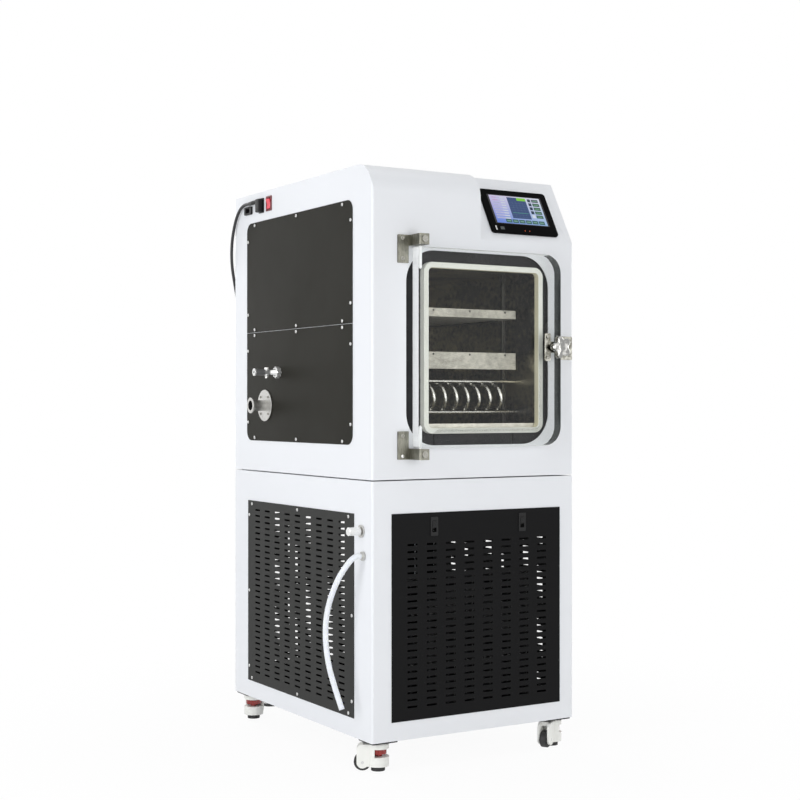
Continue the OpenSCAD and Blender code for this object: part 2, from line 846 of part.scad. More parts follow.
// ---------------------------------------------------------------- refrigeration cabinet

module grille_outline() {
    translate([grille_y, grille_z]) square([grille_d, grille_h]);
}

module lower_housing() {
    color("white") difference() {
        flat_slab(underside_z, lower_h) cabinet_plan(0);
        flat_slab(floor_z, lower_h - 2 * sheet) cabinet_plan(sheet);
        for (x = [-1, cab_w - sheet - 1]) side_slab(x, sheet + 2)
            translate([grille_y + overlap, grille_z + overlap])
                square([grille_d - 2 * overlap, grille_h - 2 * overlap]);
        front_slab(-1, sheet + 2)
            translate([front_x + overlap, front_z + overlap])
                square([front_w - 2 * overlap, front_h - 2 * overlap]);
        front_slab(cab_d - sheet - 1, sheet + 2)
            translate([rear_x + overlap, grille_z + overlap])
                square([rear_w - 2 * overlap, grille_h - 2 * overlap]);
        bar_x([-1, drain_y, drain_z], 8, sheet + 2);
        bar_x([-1, hose_y, hose_z], 7, sheet + 2);
    }
}

// Rows and columns of slots, spread evenly over a field
module slot_field(x, y, w, h, columns, rows, slot) {
    px = (w - slot[0]) / (columns - 1);
    py = (h - slot[1]) / (rows - 1);
    for (i = [0:columns - 1], j = [0:rows - 1]) translate([x + px * i, y + py * j]) square(slot);
}

module side_grille() {
    side_slab(-plate_t, plate_t) difference() {
        grille_outline();
        slot_field(grille_y + 46, grille_z + 26, grille_d - 92, grille_h - 48, 9, 29, [30, 5]);
    }
}

module grilles() {
    color([0.23, 0.23, 0.22]) {
        side_grille();
        other_side() side_grille();
        front_slab(cab_d, plate_t) difference() {
            translate([rear_x, grille_z]) square([rear_w, grille_h]);
            slot_field(rear_x + 40, grille_z + 26, rear_w - 80, grille_h - 48, 7, 24, [32, 6]);
        }
    }
}

module front_panel() {
    color([0.12, 0.12, 0.13]) front_slab(-plate_t, plate_t) difference() {
        translate([front_x, front_z]) square([front_w, front_h]);
        slot_field(front_x + 44, front_z + 30, front_w - 88, front_h - 104, 8, 24, [28, 5]);
        for (x = latch_xs) translate([x - 5, latch_z - 17]) square([10, 30]);
    }
}

module latch_frames() {
    color([0.05, 0.05, 0.05]) front_slab(-plate_t - 2, 2) difference() {
        for (x = latch_xs) rounded(x - 10.5, latch_z - 23, 21, 46, 2);
        for (x = latch_xs) translate([x - 6, latch_z - 14]) square([12, 28]);
    }
}

// Slide of a front panel latch: a ridged thumb piece, a neck, and a tongue behind the cabinet's edge
module latch_slider(x) {
    color([0.04, 0.04, 0.04]) {
        difference() {
            translate([x - 5.6, -plate_t - 3, latch_z - 3]) cube([11.2, 2.7, 16]);
            for (i = [0:3]) translate([x - 6, -plate_t - 3.5, latch_z + 0.2 + 3.2 * i]) cube([12, 1.2, 1.4]);
        }
        translate([x - 4.5, -plate_t - 1, latch_z - 2]) cube([9, plate_t + sheet + 1.3, 10]);
        translate([x - 8, sheet + fit_gap, latch_z - 6]) cube([16, 1.5, 28]);
    }
}

// ---------------------------------------------------------------- refrigeration parts

module compressor() {
    r = 80;
    x = cab_w - 180;
    y = cab_d - 180;
    color([0.1, 0.1, 0.1]) {
        for (sx = [-1, 1], sy = [-1, 1]) bar_z([x + sx * 80, y + sy * 80, floor_z], 12, 14);
        translate([x - 95, y - 95, floor_z + 14]) cube([190, 190, 4]);
        bar_z([x, y, floor_z + 18], r, 150);
        translate([x, y, floor_z + 168]) cylinder(r1 = r, r2 = r * 0.55, h = 34);
        translate([x - 30, y - r - 18, floor_z + 80]) cube([60, 30, 60]);
    }
}

module radiator() {
    fins = 24;
    w = cab_w - 180;
    x = 90;
    color([0.7, 0.7, 0.7]) {
        for (i = [0:fins - 1]) translate([x + i * (w - 1) / (fins - 1), 60, floor_z]) cube([1, 40, 380]);
        for (k = [0:5]) bar_x([x, 80, floor_z + 35 + 62 * k], 5, w);
    }
}

module fan_shroud() {
    cx = cab_w / 2;
    color([0.1, 0.1, 0.1]) {
        difference() {
            front_slab(102, 62) translate([cx - 175, floor_z]) square([350, 365]);
            front_slab(104, 61) translate([cx - 173, floor_z + 2]) square([346, 361]);
            bar_y([cx, 101, fan_z], fan_r + 5, 4);
        }
        for (a = [45:90:315])
            translate([cx, 160, fan_z]) rotate([0, a, 0]) translate([0, 0, -6]) cube([246, 4, 12]);
        bar_y([cx, fan_y + 21, fan_z], 34, 40);
        bar_y([cx, fan_y - 22, fan_z], shaft_r, 44);
    }
}

module fan_rotor() {
    cx = cab_w / 2;
    blades = 5;
    color([0.3, 0.3, 0.32]) translate([cx, fan_y, fan_z]) rotate([90, 0, 0]) difference() {
        union() {
            translate([0, 0, -16]) cylinder(r = 36, h = 34);
            for (k = [0:blades - 1]) rotate([0, 0, k * 360 / blades]) translate([30, 0, 0])
                rotate([28, 0, 0]) translate([0, -32, -1]) cube([108, 64, 2]);
        }
        translate([0, 0, -17]) cylinder(r = shaft_r + run_fit, h = 36);
    }
}

// ---------------------------------------------------------------- casters

module at_caster(i) {
    translate([CORNER_X[i], CORNER_Y[i], 0]) rotate([0, 0, CORNER_TURN[i]]) children();
}

module at_corner(i) {
    translate([CORNER_X[i], CORNER_Y[i], 0]) children();
}

module caster_plates() {
    color([0.12, 0.12, 0.12]) for (i = [0:3]) at_corner(i) difference() {
        flat_slab(underside_z - caster_plate_t, caster_plate_t)
            rounded(-plate_half, -plate_half, 2 * plate_half, 2 * plate_half, 6);
        bar_z([0, 0, underside_z - caster_plate_t - 1], stem_r + run_fit, caster_plate_t + 2);
    }
}

axle_z = wheel_r + wheel_lift;
cheek_t = 6;
cheek_r = 14;
cap_z = dial_z + dial_h + fit_gap;
window_z = dial_z - 6.5;
stud_top = dial_z + dial_h + 2;

// Caster body: a drum round the levelling stud, two cheeks round the wheel and a swivel collar
module caster_body() {
    drum_r = dial_r + 5.5;
    color([0.88, 0.88, 0.84]) difference() {
        union() {
            bar_z([0, 0, skirt_z], drum_r, collar_top - 5 - skirt_z);
            for (s = [-1, 1]) translate([0, s * (wheel_w / 2 + 1 + cheek_t / 2) + cheek_t / 2, 0])
                rotate([90, 0, 0]) linear_extrude(cheek_t) {
                    translate([0, skirt_z]) square([wheel_off, collar_top - 5 - skirt_z]);
                    translate([wheel_off, axle_z]) square([cheek_r, collar_top - 5 - cheek_r - axle_z]);
                    translate([wheel_off, axle_z]) circle(cheek_r);
                    translate([wheel_off, collar_top - 5 - cheek_r]) circle(cheek_r);
                }
            flat_slab(cap_z, collar_top - 5 - cap_z)
                translate([0, -wheel_w / 2 - 2]) square([wheel_off, wheel_w + 4]);
            bar_z([0, 0, collar_top - 6], 24, 6);
            bar_z([0, 0, collar_top - 6], stem_r, caster_plate_t + 6);
        }
        translate([-60, -50, window_z]) cube([68, 100, cap_z - window_z]);
        bar_z([0, 0, window_z], dial_r + 1, cap_z - window_z);
        bar_z([0, 0, 0], pad_r + 1.2, pad_h + foot_rise + 0.5);
        bar_z([0, 0, 0], stem_r + run_fit, stud_top + foot_rise + 0.5);
        translate([wheel_off, 0, axle_z]) rotate([90, 0, 0]) translate([0, 0, -wheel_w / 2 - 1])
            cylinder(r = wheel_r + 2, h = wheel_w + 2);
        bar_y([wheel_off, -50, axle_z], axle_r, 100);
    }
    color("silver") bar_y([wheel_off, -wheel_w / 2 - 1 - cheek_t, axle_z], axle_r, wheel_w + 2 + 2 * cheek_t);
}

module caster_wheel() {
    color([0.08, 0.08, 0.08]) translate([wheel_off, wheel_w / 2, axle_z]) rotate([90, 0, 0]) difference() {
        union() {
            cylinder(r = wheel_r - 2, h = wheel_w);
            translate([0, 0, 2]) cylinder(r = wheel_r, h = wheel_w - 4);
        }
        translate([0, 0, -1]) cylinder(r = axle_r + run_fit, h = wheel_w + 2);
        for (z = [-1, wheel_w - 3]) translate([0, 0, z]) difference() {
            cylinder(r = wheel_r - 6, h = 4);
            cylinder(r = axle_r + 4, h = 4);
        }
    }
}

module caster_foot() {
    color([0.06, 0.06, 0.06]) {
        bar_z([0, 0, 0], pad_r, 7);
        translate([0, 0, 7]) cylinder(r1 = pad_r, r2 = 11, h = pad_h - 7);
        bar_z([0, 0, pad_h], stem_r, stud_top - pad_h);
    }
}

// Thumbwheel with a scalloped rim, on a hub that stands on the window's floor
module caster_dial() {
    color([0.6, 0.07, 0.05]) difference() {
        union() {
            bar_z([0, 0, dial_z], dial_r, dial_h);
            bar_z([0, 0, window_z + fit_gap], 10, dial_z - window_z);
        }
        bar_z([0, 0, window_z], stem_r + run_fit, cap_z - window_z);
        for (a = [0:30:330]) rotate([0, 0, a]) bar_z([dial_r + 1, 0, dial_z - 1], 2.2, dial_h + 2);
    }
}

// ---------------------------------------------------------------- power cord

// Plug in the inlet, with a tapered strain relief that ends where the cord starts
module cord_plug() {
    start = CORD_ROUTE[0];
    neck = inlet_y + 10;
    color([0.05, 0.05, 0.05]) {
        side_slab(-plug_out, plug_out - 3) rounded(inlet_y - 12, inlet_z - 18.4, 23, 36.2, 4);
        translate([start[0], neck, start[2]])
            rotate([-90, 0, 0]) cylinder(r1 = 5.9, r2 = 5.2, h = start[1] - neck);
    }
}

module power_cord() {
    color([0.06, 0.06, 0.06]) {
        swept_tube(CORD_ROUTE, cord_d / 2, [1, 0, 0]);
        swept_tube(LEAD_ROUTE, cord_d / 2, [0, 1, 0]);
    }
}

module cord_coil() {
    color([0.06, 0.06, 0.06]) translate([COIL_AT[0], COIL_AT[1], 0])
        rotate_extrude($fn = 48) rounded(coil_mean_r - coil_half, 0, 2 * coil_half, 2 * coil_half, 4);
}

module mains_plug() {
    end = LEAD_ROUTE[len(LEAD_ROUTE) - 1];
    color([0.05, 0.05, 0.05]) {
        translate(end) rotate([0, 90, 0]) cylinder(r1 = 5, r2 = 8, h = 24);
        translate([end[0] + 24, end[1] - 18, 0]) cube([34, 36, 26]);
        for (s = [-1, 1]) translate([end[0] + 58, end[1] + s * 9 - 1, end[2] - 3.5]) cube([18, 2, 7]);
        translate([end[0] + 58, end[1] - 3.5, end[2] + 6]) cube([21, 7, 2]);
    }
}

// ---------------------------------------------------------------- screws

// Flat screw with a slot, in the end of each hinge arm
module slotted_head(x, y, z) {
    translate([x, y, z]) rotate([90, 0, 0]) difference() {
        cylinder(r = 8, h = 3);
        translate([-9, -1, 2]) cube([18, 2, 2]);
    }
}

module cover_heads() {
    in = 8;
    near = 50;
    across = [cover_y + near, cover_y + cover_d / 2, cover_y + cover_d - near];
    rows = [cover_z + in, cover_split - in, cover_split + in, cover_top - in];
    up = [cover_z + near, cover_split - near, cover_split + near, cover_top - near];
    for (y = across, z = rows) head_left(-plate_t, y, z);
    for (y = [cover_y + in, cover_y + cover_d - in], z = up) head_left(-plate_t, y, z);
}

module grille_heads() {
    x = -plate_t;
    in = 9;
    across = [grille_y + 26, grille_y + grille_d / 2, grille_y + grille_d - 26];
    up = [grille_z + 40, grille_z + grille_h / 2, grille_z + grille_h - 40];
    for (y = across, z = [grille_z + in, grille_z + grille_h - in]) head_left(x, y, z);
    for (y = [grille_y + in, grille_y + grille_d - in], z = up) head_left(x, y, z);
}

module cover_screws() {
    color("silver") {
        cover_heads();
        grille_heads();
        other_side() {
            cover_heads();
            grille_heads();
        }
        for (x = [rear_x + 26, cab_w / 2, rear_x + rear_w - 26], z = [rear_z + 8, rear_z + rear_h - 8])
            head_rear(x, cab_d + plate_t, z);
        for (x = [rear_x + 9, rear_x + rear_w - 9], up = [30, grille_h / 2, grille_h - 30])
            head_rear(x, cab_d + plate_t, grille_z + up);
        for (a = [45:90:315])
            head_left(-plate_t - disc_t, port_y + 32 * cos(a), port_z + 32 * sin(a));
        arm_top = door_z + door_h + arm_gap + arm_h;
        both_ends() {
            for (z = [8, 57]) head_front(hinge_x + 13, -hinge_t, arm_top - z);
            slotted_head(hinge_x + hinge_w + arm_w / 2, -arm_reach, arm_top - arm_h / 2);
        }
        for (s = [-1, 1]) head_front(cab_w - 14, -bracket_t, clamp_z + s * 18);
    }
}

// ---------------------------------------------------------------- the object

// Moves the cabinet coordinates so that the origin stands under the middle of the object
module framed() {
    translate([frame_x, frame_y, 0]) children();
}

framed() lower_housing();
framed() upper_sides();
framed() upper_front();
framed() upper_base();
framed() covers();
framed() grilles();
framed() front_panel();
framed() latch_frames();
framed() cover_screws();
framed() chamber();
framed() chamber_jacket();
framed() door_gasket();
framed() shelf_rack();
framed() shelves();
framed() condenser_coil();
framed() coil_rods();
framed() hinge_brackets();
framed() hinge_pins();
framed() latch_bracket();
framed() screen_housing();
framed() screen_glass();
framed() switch_frame();
framed() power_sockets();
framed() vacuum_port();
framed() vent_valve();
framed() drain_valve();
framed() compressor();
framed() radiator();
framed() fan_shroud();
framed() caster_plates();
framed() door_panel();
framed() door_lug();
framed() star_knob();
framed() rocker();
framed() vent_key();
framed() drain_knob();
framed() fan_rotor();
framed() latch_slider(latch_xs[0]);  // latch_slider_left
framed() latch_slider(latch_xs[1]);  // latch_slider_right
framed() drain_hose();
framed() cord_plug();
framed() power_cord();
framed() cord_coil();
framed() mains_plug();
for (i = [0:3]) {
    framed() at_caster(i) caster_body();
    framed() at_caster(i) caster_wheel();
    framed() at_caster(i) caster_foot();
    framed() at_caster(i) caster_dial();
}
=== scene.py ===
"""A pilot freeze dryer: its finishes, cords and fine parts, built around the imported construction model."""
import json
import math
from math import cos, pi, radians, sin

import bmesh
import bpy
from mathutils import Matrix, Vector


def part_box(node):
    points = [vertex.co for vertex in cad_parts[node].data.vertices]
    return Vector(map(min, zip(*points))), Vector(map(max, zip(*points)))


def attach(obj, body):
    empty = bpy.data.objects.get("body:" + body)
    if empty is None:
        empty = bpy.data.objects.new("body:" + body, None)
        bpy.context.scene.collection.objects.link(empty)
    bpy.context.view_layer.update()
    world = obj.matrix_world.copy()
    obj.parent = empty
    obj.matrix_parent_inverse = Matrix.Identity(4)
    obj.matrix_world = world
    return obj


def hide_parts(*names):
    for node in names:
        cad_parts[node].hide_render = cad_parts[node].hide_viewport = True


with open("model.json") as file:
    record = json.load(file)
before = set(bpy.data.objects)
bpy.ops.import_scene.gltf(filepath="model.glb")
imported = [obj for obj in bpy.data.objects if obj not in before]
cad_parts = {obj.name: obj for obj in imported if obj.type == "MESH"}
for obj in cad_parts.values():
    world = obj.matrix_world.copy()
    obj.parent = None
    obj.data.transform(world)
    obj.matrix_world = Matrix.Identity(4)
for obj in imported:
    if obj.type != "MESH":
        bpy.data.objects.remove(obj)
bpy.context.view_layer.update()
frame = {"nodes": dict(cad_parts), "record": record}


# ---------------------------------------------------------------------------
# Studio: a level camera at chest height, seen from the machine's front left,
# a pale floor that runs out into a white room, and large soft lamps.

scene = bpy.context.scene
scene.view_settings.view_transform = "Standard"
cabinet_low, cabinet_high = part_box("lower_housing")
floor_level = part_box("caster_foot_front_left")[0].z


def at(x, y, z):
    """A point from millimetres right of the cabinet's left side, behind its front and above the floor."""
    return Vector((cabinet_low.x + x / 1000, cabinet_low.y + y / 1000, floor_level + z / 1000))


camera_looks_along = (0.5165, 0.8563)
camera = bpy.data.objects.new("camera", bpy.data.cameras.new("camera"))
scene.collection.objects.link(camera)
scene.camera = camera
camera.location = at(-1748.7, -3028, 881)
camera.rotation_euler = (radians(90), 0, -math.atan2(*camera_looks_along))
camera.data.sensor_width = 36
camera.data.lens = 66.24
camera.data.shift_y = 0.0059
camera.data.clip_end = 60


def lamp(name, place, target, size, power, colour=(1, 1, 1)):
    """A square softbox that faces its target."""
    light = bpy.data.lights.new(name, "AREA")
    light.size = size
    light.energy = power
    light.color = colour
    made = bpy.data.objects.new(name, light)
    made.location = place
    made.rotation_euler = (target - place).to_track_quat("-Z", "Y").to_euler()
    scene.collection.objects.link(made)


middle = at(300, 380, 760)
lamp("left_softbox", at(-3200, -300, 1350), middle, 2.4, 59, (0.97, 0.98, 1))
lamp("front_softbox", at(300, -3600, 1000), middle, 2.4, 48)
lamp("top_softbox", at(200, 300, 3900), middle, 2.6, 19)
lamp("right_softbox", at(3700, 250, 1500), middle, 2.2, 36)
lamp("rear_softbox", at(300, 4200, 1700), middle, 2.4, 50)


class Flow:
    """A value on its way through a material: sums and products of it become Math nodes."""

    def __init__(self, tree, socket=None):
        self.tree = tree
        self.socket = socket

    def node(self, kind, inputs, settings=(), out=0):
        """Any node: its settings are set first, then its sockets get values or links."""
        made = self.tree.nodes.new("ShaderNode" + kind)
        for name, value in dict(settings).items():
            setattr(made, name, value)
        for name, value in inputs.items():
            if isinstance(value, Flow):
                self.tree.links.new(value.socket, made.inputs[name])
            else:
                made.inputs[name].default_value = value
        return Flow(self.tree, made.outputs[out])

    def math(self, operation, a, b):
        return self.node("Math", {0: a, 1: b}, {"operation": operation})

    def __add__(self, other):
        return self.math("ADD", self, other)

    def __mul__(self, other):
        return self.math("MULTIPLY", self, other)

    __radd__ = __add__
    __rmul__ = __mul__

    def between(self, low, high):
        """0 below low, 1 above high, and smooth in between."""
        settings = {"interpolation_type": "SMOOTHSTEP"}
        return self.node("MapRange", {"Value": self, "From Min": low, "From Max": high}, settings)

    def tint(self, low, high):
        """From one colour at 0 to another at 1."""
        ends = {0: self, 6: (*low, 1), 7: (*high, 1)}
        return self.node("Mix", ends, {"data_type": "RGBA"}, out=2)

    def noise(self, scale, detail=2.0, rough=0.5):
        """Cloudy noise at this place, with features about 1 / scale metres across."""
        return self.node("TexNoise", {"Vector": self, "Scale": scale, "Detail": detail, "Roughness": rough})

    def stretched(self, scale):
        """This place with each axis scaled by itself, for brushed or drawn patterns."""
        return self.node("Mapping", {"Vector": self, "Scale": scale})


def to_the_eye(tree):
    """1 for what is seen, straight or by way of mirrors and glass, and 0 for light on its way to a surface."""
    start = Flow(tree)
    straight, mirrored, through = (start.node("LightPath", {}, out=f"Is {ray} Ray")
                                   for ray in ("Camera", "Glossy", "Transmission"))
    return start.math("MAXIMUM", straight, start.math("MAXIMUM", mirrored, through))


def show(flow, end="Material Output"):
    """Makes a shader the one that its surface, or the room, shows."""
    flow.tree.links.new(flow.socket, flow.tree.nodes[end].inputs["Surface"])


def finish(name, **fixed):
    """A new material with its fixed values on the shader's own sockets, and its place in object coordinates."""
    made = bpy.data.materials.new(name)
    made.use_nodes = True
    shader = made.node_tree.nodes["Principled BSDF"]
    for key, value in fixed.items():
        socket = shader.inputs[key.replace("_", " ").title().replace("Ior", "IOR")]
        socket.default_value = (*value, 1) if "color" in key else value
    place = Flow(made.node_tree).node("TexCoord", {}, out=3)
    return made, shader, place


def lay(flow, shader, socket):
    """Feeds a socket of the shader."""
    flow.tree.links.new(flow.socket, shader.inputs[socket])


def emboss(height, shader, depth, strength=1.0):
    """Turns a height into relief, with depth in metres."""
    lay(height.node("Bump", {"Height": height, "Distance": depth, "Strength": strength}), shader, "Normal")


# The room lights the machine softly, and is white to the eye.
room = bpy.data.worlds.new("room")
scene.world = room
room.use_nodes = True
soft_light = room.node_tree.nodes["Background"]
soft_light.inputs["Color"].default_value = (0.96, 0.98, 1, 1)
soft_light.inputs["Strength"].default_value = 0.39
ambient = Flow(room.node_tree, soft_light.outputs[0])
backdrop = ambient.node("Background", {"Color": (1, 1, 1, 1), "Strength": 1.0})
show(ambient.node("MixShader", {0: to_the_eye(room.node_tree), 1: ambient, 2: backdrop}), "World Output")

# The floor is a pale disc whose rim fades into the white room.
floor_radius = 9
fade_starts, fade_ends = 0.4, 1.8
least_white = 0.92
floor_mesh = bmesh.new()
bmesh.ops.create_circle(floor_mesh, cap_ends=True, segments=96, radius=floor_radius)
bmesh.ops.translate(floor_mesh, verts=floor_mesh.verts, vec=(middle.x, middle.y, floor_level))
floor = bpy.data.objects.new("floor", bpy.data.meshes.new("floor"))
floor_mesh.to_mesh(floor.data)
floor_mesh.free()
scene.collection.objects.link(floor)
pale_floor, shader, place = finish("pale_floor", base_color=(0.9, 0.9, 0.9), roughness=0.7,
                                   specular_ior_level=0.1)
floor.data.materials.append(pale_floor)
from_middle = place.node("VectorMath", {0: place, 1: middle}, {"operation": "DISTANCE"}, out=1)
whiteness = from_middle.between(fade_starts, fade_ends) * (1 - least_white) + least_white
lit_floor = Flow(pale_floor.node_tree, shader.outputs[0])
white = place.node("Emission", {"Color": (1, 1, 1, 1), "Strength": 1.0})
show(place.node("MixShader", {0: to_the_eye(pale_floor.node_tree) * whiteness, 1: lit_floor, 2: white}))


# ---------------------------------------------------------------------------
# Drain hose: thick-walled translucent silicone tube, pushed over the hose port
# under the drain knob, hanging in a bow down the left side to its cut end.

slot_of_node = {part["node"]: part["material_slot"] for part in frame["record"]["subparts"]}


def piece(name, shape, body, *coats, stands_for=(), slot=None, sharp=35, flats=True):
    """Makes a bmesh an object that rides on a CAD body, smooth except at edges sharper than the angle."""
    mesh = bpy.data.meshes.new(name)
    shape.to_mesh(mesh)
    shape.free()
    mesh.polygons.foreach_set("use_smooth", [True] * len(mesh.polygons))
    mesh.set_sharp_from_angle(angle=radians(sharp))
    for coat in coats:
        mesh.materials.append(coat)
    made = bpy.data.objects.new(name, mesh)
    scene.collection.objects.link(made)
    if flats:
        made.modifiers.new("flats_stay_flat", "WEIGHTED_NORMAL").keep_sharp = True
    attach(made, body)
    if stands_for:
        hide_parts(*stands_for)
    return made


def smooth_path(points, steps):
    """A Catmull-Rom line through the points."""
    ends = [2 * points[0] - points[1], *points, 2 * points[-1] - points[-2]]
    line = []
    for a, b, c, d in zip(ends, ends[1:], ends[2:], ends[3:]):
        for k in range(steps):
            t = k / steps
            line.append(0.5 * (2 * b + (c - a) * t + (2 * a - 5 * b + 4 * c - d) * t * t
                               + (3 * b - 3 * c + d - a) * t ** 3))
    return [*line, points[-1]]


def tube(line, radius, sides, capped=True):
    """A bmesh tube along a line: one ring, extruded from point to point and turned with the line."""
    shape = bmesh.new()
    ring = bmesh.ops.create_circle(shape, segments=sides, radius=radius)["verts"]
    heading = (line[1] - line[0]).normalized()
    bmesh.ops.rotate(shape, verts=ring, matrix=heading.to_track_quat("Z", "X").to_matrix())
    bmesh.ops.translate(shape, verts=ring, vec=line[0])
    edges = shape.edges[:]
    first = edges
    for i in range(1, len(line)):
        new = bmesh.ops.extrude_edge_only(shape, edges=edges)["geom"]
        ring = [v for v in new if isinstance(v, bmesh.types.BMVert)]
        edges = [e for e in new if isinstance(e, bmesh.types.BMEdge)]
        onward = (line[min(i + 1, len(line) - 1)] - line[i - 1]).normalized()
        turn = heading.rotation_difference(onward).to_matrix()
        bmesh.ops.translate(shape, verts=ring, vec=line[i] - line[i - 1])
        bmesh.ops.rotate(shape, verts=ring, cent=line[i], matrix=turn)
        heading = onward
    if capped:
        bmesh.ops.holes_fill(shape, edges=first + edges, sides=sides)
    bmesh.ops.recalc_face_normals(shape, faces=shape.faces)
    return shape


def length_of(line):
    """How long a line of points is."""
    return sum((b - a).length for a, b in zip(line, line[1:]))


hose_route = [at(*p) for p in (
    (-8, 40, 518), (-20, 40, 518), (-32, 42, 511), (-45, 47, 494), (-56, 58, 470), (-64, 71, 440),
    (-70, 83, 406), (-74, 91, 368), (-74, 95, 328), (-72, 93, 288), (-68, 87, 250), (-62, 78, 215),
    (-56, 67, 182), (-50, 57, 152),
)]
hose_diameter = 0.0136
hose_line = smooth_path(hose_route, 5)

silicone, shader, place = finish("milky_silicone", base_color=(0.84, 0.87, 0.9), roughness=0.32,
                                 subsurface_weight=0.35, subsurface_radius=(0.004, 0.004, 0.005))
lay(place.noise(60, 3).tint((0.78, 0.81, 0.85), (0.88, 0.9, 0.93)), shader, "Base Color")
emboss(place.noise(220, 2), shader, 0.0002, 0.5)

hose = piece("drain_hose_tube", tube(hose_line, hose_diameter / 2, 20, capped=False), "cabinet", silicone,
             stands_for=("drain_hose",), flats=False)
wall = hose.modifiers.new("wall", "SOLIDIFY")
wall.thickness = 0.0028
wall.offset = -1
round(length_of(hose_line), 3)


# ---------------------------------------------------------------------------
# Power cord: a 3 m lead with a black jacket. It leaves its plug at the top of the
# left side, drops behind the machine, and its spare length lies there in a tied coil.

cord_diameter = 0.0085
cord_route = [at(*p) for p in (
    (-9, 664, 1434.5), (-9, 684, 1434.5), (-9, 700, 1432.5), (-9, 715, 1427), (-9, 730, 1417),
    (-9, 743, 1404), (-9, 754, 1388), (-9, 763, 1370), (-9, 771, 1349), (-8, 778, 1323),
    (-5, 785, 1294), (0, 790, 1262), (8, 794, 1226), (17, 797, 1184), (25, 799, 1130),
    (31, 800, 1060), (36, 801, 970), (40, 801, 870), (40, 801, 760), (40, 801, 650),
    (40, 801, 540), (40, 801, 430), (40, 801, 330), (42, 802, 250), (46, 804, 190),
    (53, 808, 140), (62, 813, 100), (74, 821, 66), (90, 829, 38), (108, 836, 18),
    (128, 840, 8), (150, 842, 5), (172, 842, 4.5),
)]
coil_centre = at(205, 892.4, 0)
coil_radii = (0.0504, 0.0417, 0.0417, 0.0504)
coil_heights = (0.0045, 0.0045, 0.0131, 0.0131)
last_turn = len(coil_radii) - 1
turn_points = 16
level_share = 0.6


def coil_point(step):
    """A point on the coil: a turn is round and level for a share, then goes over to the next."""
    turn, part = divmod(step, turn_points)
    turn = min(turn, last_turn)
    onward = min(turn + 1, last_turn)
    change = max(0.0, part / turn_points - level_share) / (1 - level_share)
    change = change * change * (3 - 2 * change)
    radius = coil_radii[turn] + (coil_radii[onward] - coil_radii[turn]) * change
    height = coil_heights[turn] + (coil_heights[onward] - coil_heights[turn]) * change
    angle = -pi / 2 + 2 * pi * step / turn_points
    return coil_centre + Vector((radius * cos(angle), radius * sin(angle), height))


cord_route += [coil_point(step) for step in range(len(coil_radii) * turn_points + 1)]
cord_route += [at(x, 842, 13) for x in (224, 245, 266, 288, 310)]
cord_line = smooth_path(cord_route, 4)

jacket, shader, place = finish("cord_jacket", roughness=0.5)
lay(place.noise(90, 3).tint((0.012, 0.012, 0.013), (0.03, 0.03, 0.032)), shader, "Base Color")
emboss(place.noise(900, 2), shader, 0.0001, 0.6)

black_moulded, shader, place = finish("black_moulded", specular_ior_level=0.25)
lay(place.noise(45, 4).tint((0.007, 0.007, 0.0075), (0.016, 0.016, 0.0165)), shader, "Base Color")
lay(place.noise(30, 3) * 0.25 + 0.32, shader, "Roughness")
emboss(place.noise(1400, 2), shader, 0.00012, 0.7)

cord = piece("power_cord_jacket", tube(cord_line, cord_diameter / 2, 12), "cabinet", jacket,
             stands_for=("power_cord", "cord_coil"), flats=False)


def block(low, high, round_off, segments=2):
    """A box between two corners, with all its edges rounded."""
    shape = bmesh.new()
    bmesh.ops.create_cube(shape, size=1)
    bmesh.ops.scale(shape, verts=shape.verts, vec=high - low)
    bmesh.ops.translate(shape, verts=shape.verts, vec=(low + high) / 2)
    bmesh.ops.bevel(shape, geom=shape.edges, offset=round_off, segments=segments, profile=0.5, affect="EDGES",
                    material=-1)
    return shape


def join(shape, other, material=None):
    """Adds one bmesh to another and frees it."""
    if material is not None:
        for face in other.faces:
            face.material_index = material
    spare = bpy.data.meshes.new("spare")
    other.to_mesh(spare)
    other.free()
    shape.from_mesh(spare)
    bpy.data.meshes.remove(spare)
    return shape


def lathe(profile, centre, axis, steps):
    """Spins an outline of (radius, distance along the axis) pairs, in millimetres, round an axis."""
    shape = bmesh.new()
    points = [shape.verts.new((r / 1000, 0, d / 1000)) for r, d in profile]
    edges = [shape.edges.new(pair) for pair in zip(points, points[1:])]
    bmesh.ops.spin(shape, geom=points + edges, cent=(0, 0, 0), axis=(0, 0, 1), angle=2 * pi, steps=steps,
                   use_merge=True)
    bmesh.ops.remove_doubles(shape, verts=shape.verts, dist=1e-6)
    bmesh.ops.recalc_face_normals(shape, faces=shape.faces)
    bmesh.ops.rotate(shape, verts=shape.verts, matrix=Vector(axis).to_track_quat("Z", "X").to_matrix())
    bmesh.ops.translate(shape, verts=shape.verts, vec=centre)
    return shape


# The plug is a moulded block in the inlet, with ribs on its strain relief.
plug = block(at(-16, 588, 1404.6), at(-3, 611, 1440.8), 0.003, 3)
relief = [(0, -2), (5.7, -2)]
for rib in range(6):
    relief += [(5.9 - 0.1 * rib, 2 + 4 * rib), (5.9 - 0.1 * rib, 4.4 + 4 * rib),
               (4.9 - 0.1 * rib, 4.8 + 4 * rib), (4.9 - 0.1 * rib, 5.6 + 4 * rib)]
relief += [(5.5, 27), (5.2, 38), (4.8, 50), (4.4, 54), (0, 54)]
join(plug, lathe(relief, at(-9, 610, 1434.5), (0, 1, 0), 32))
plug = piece("inlet_plug", plug, "cabinet", black_moulded, stands_for=("cord_plug",))

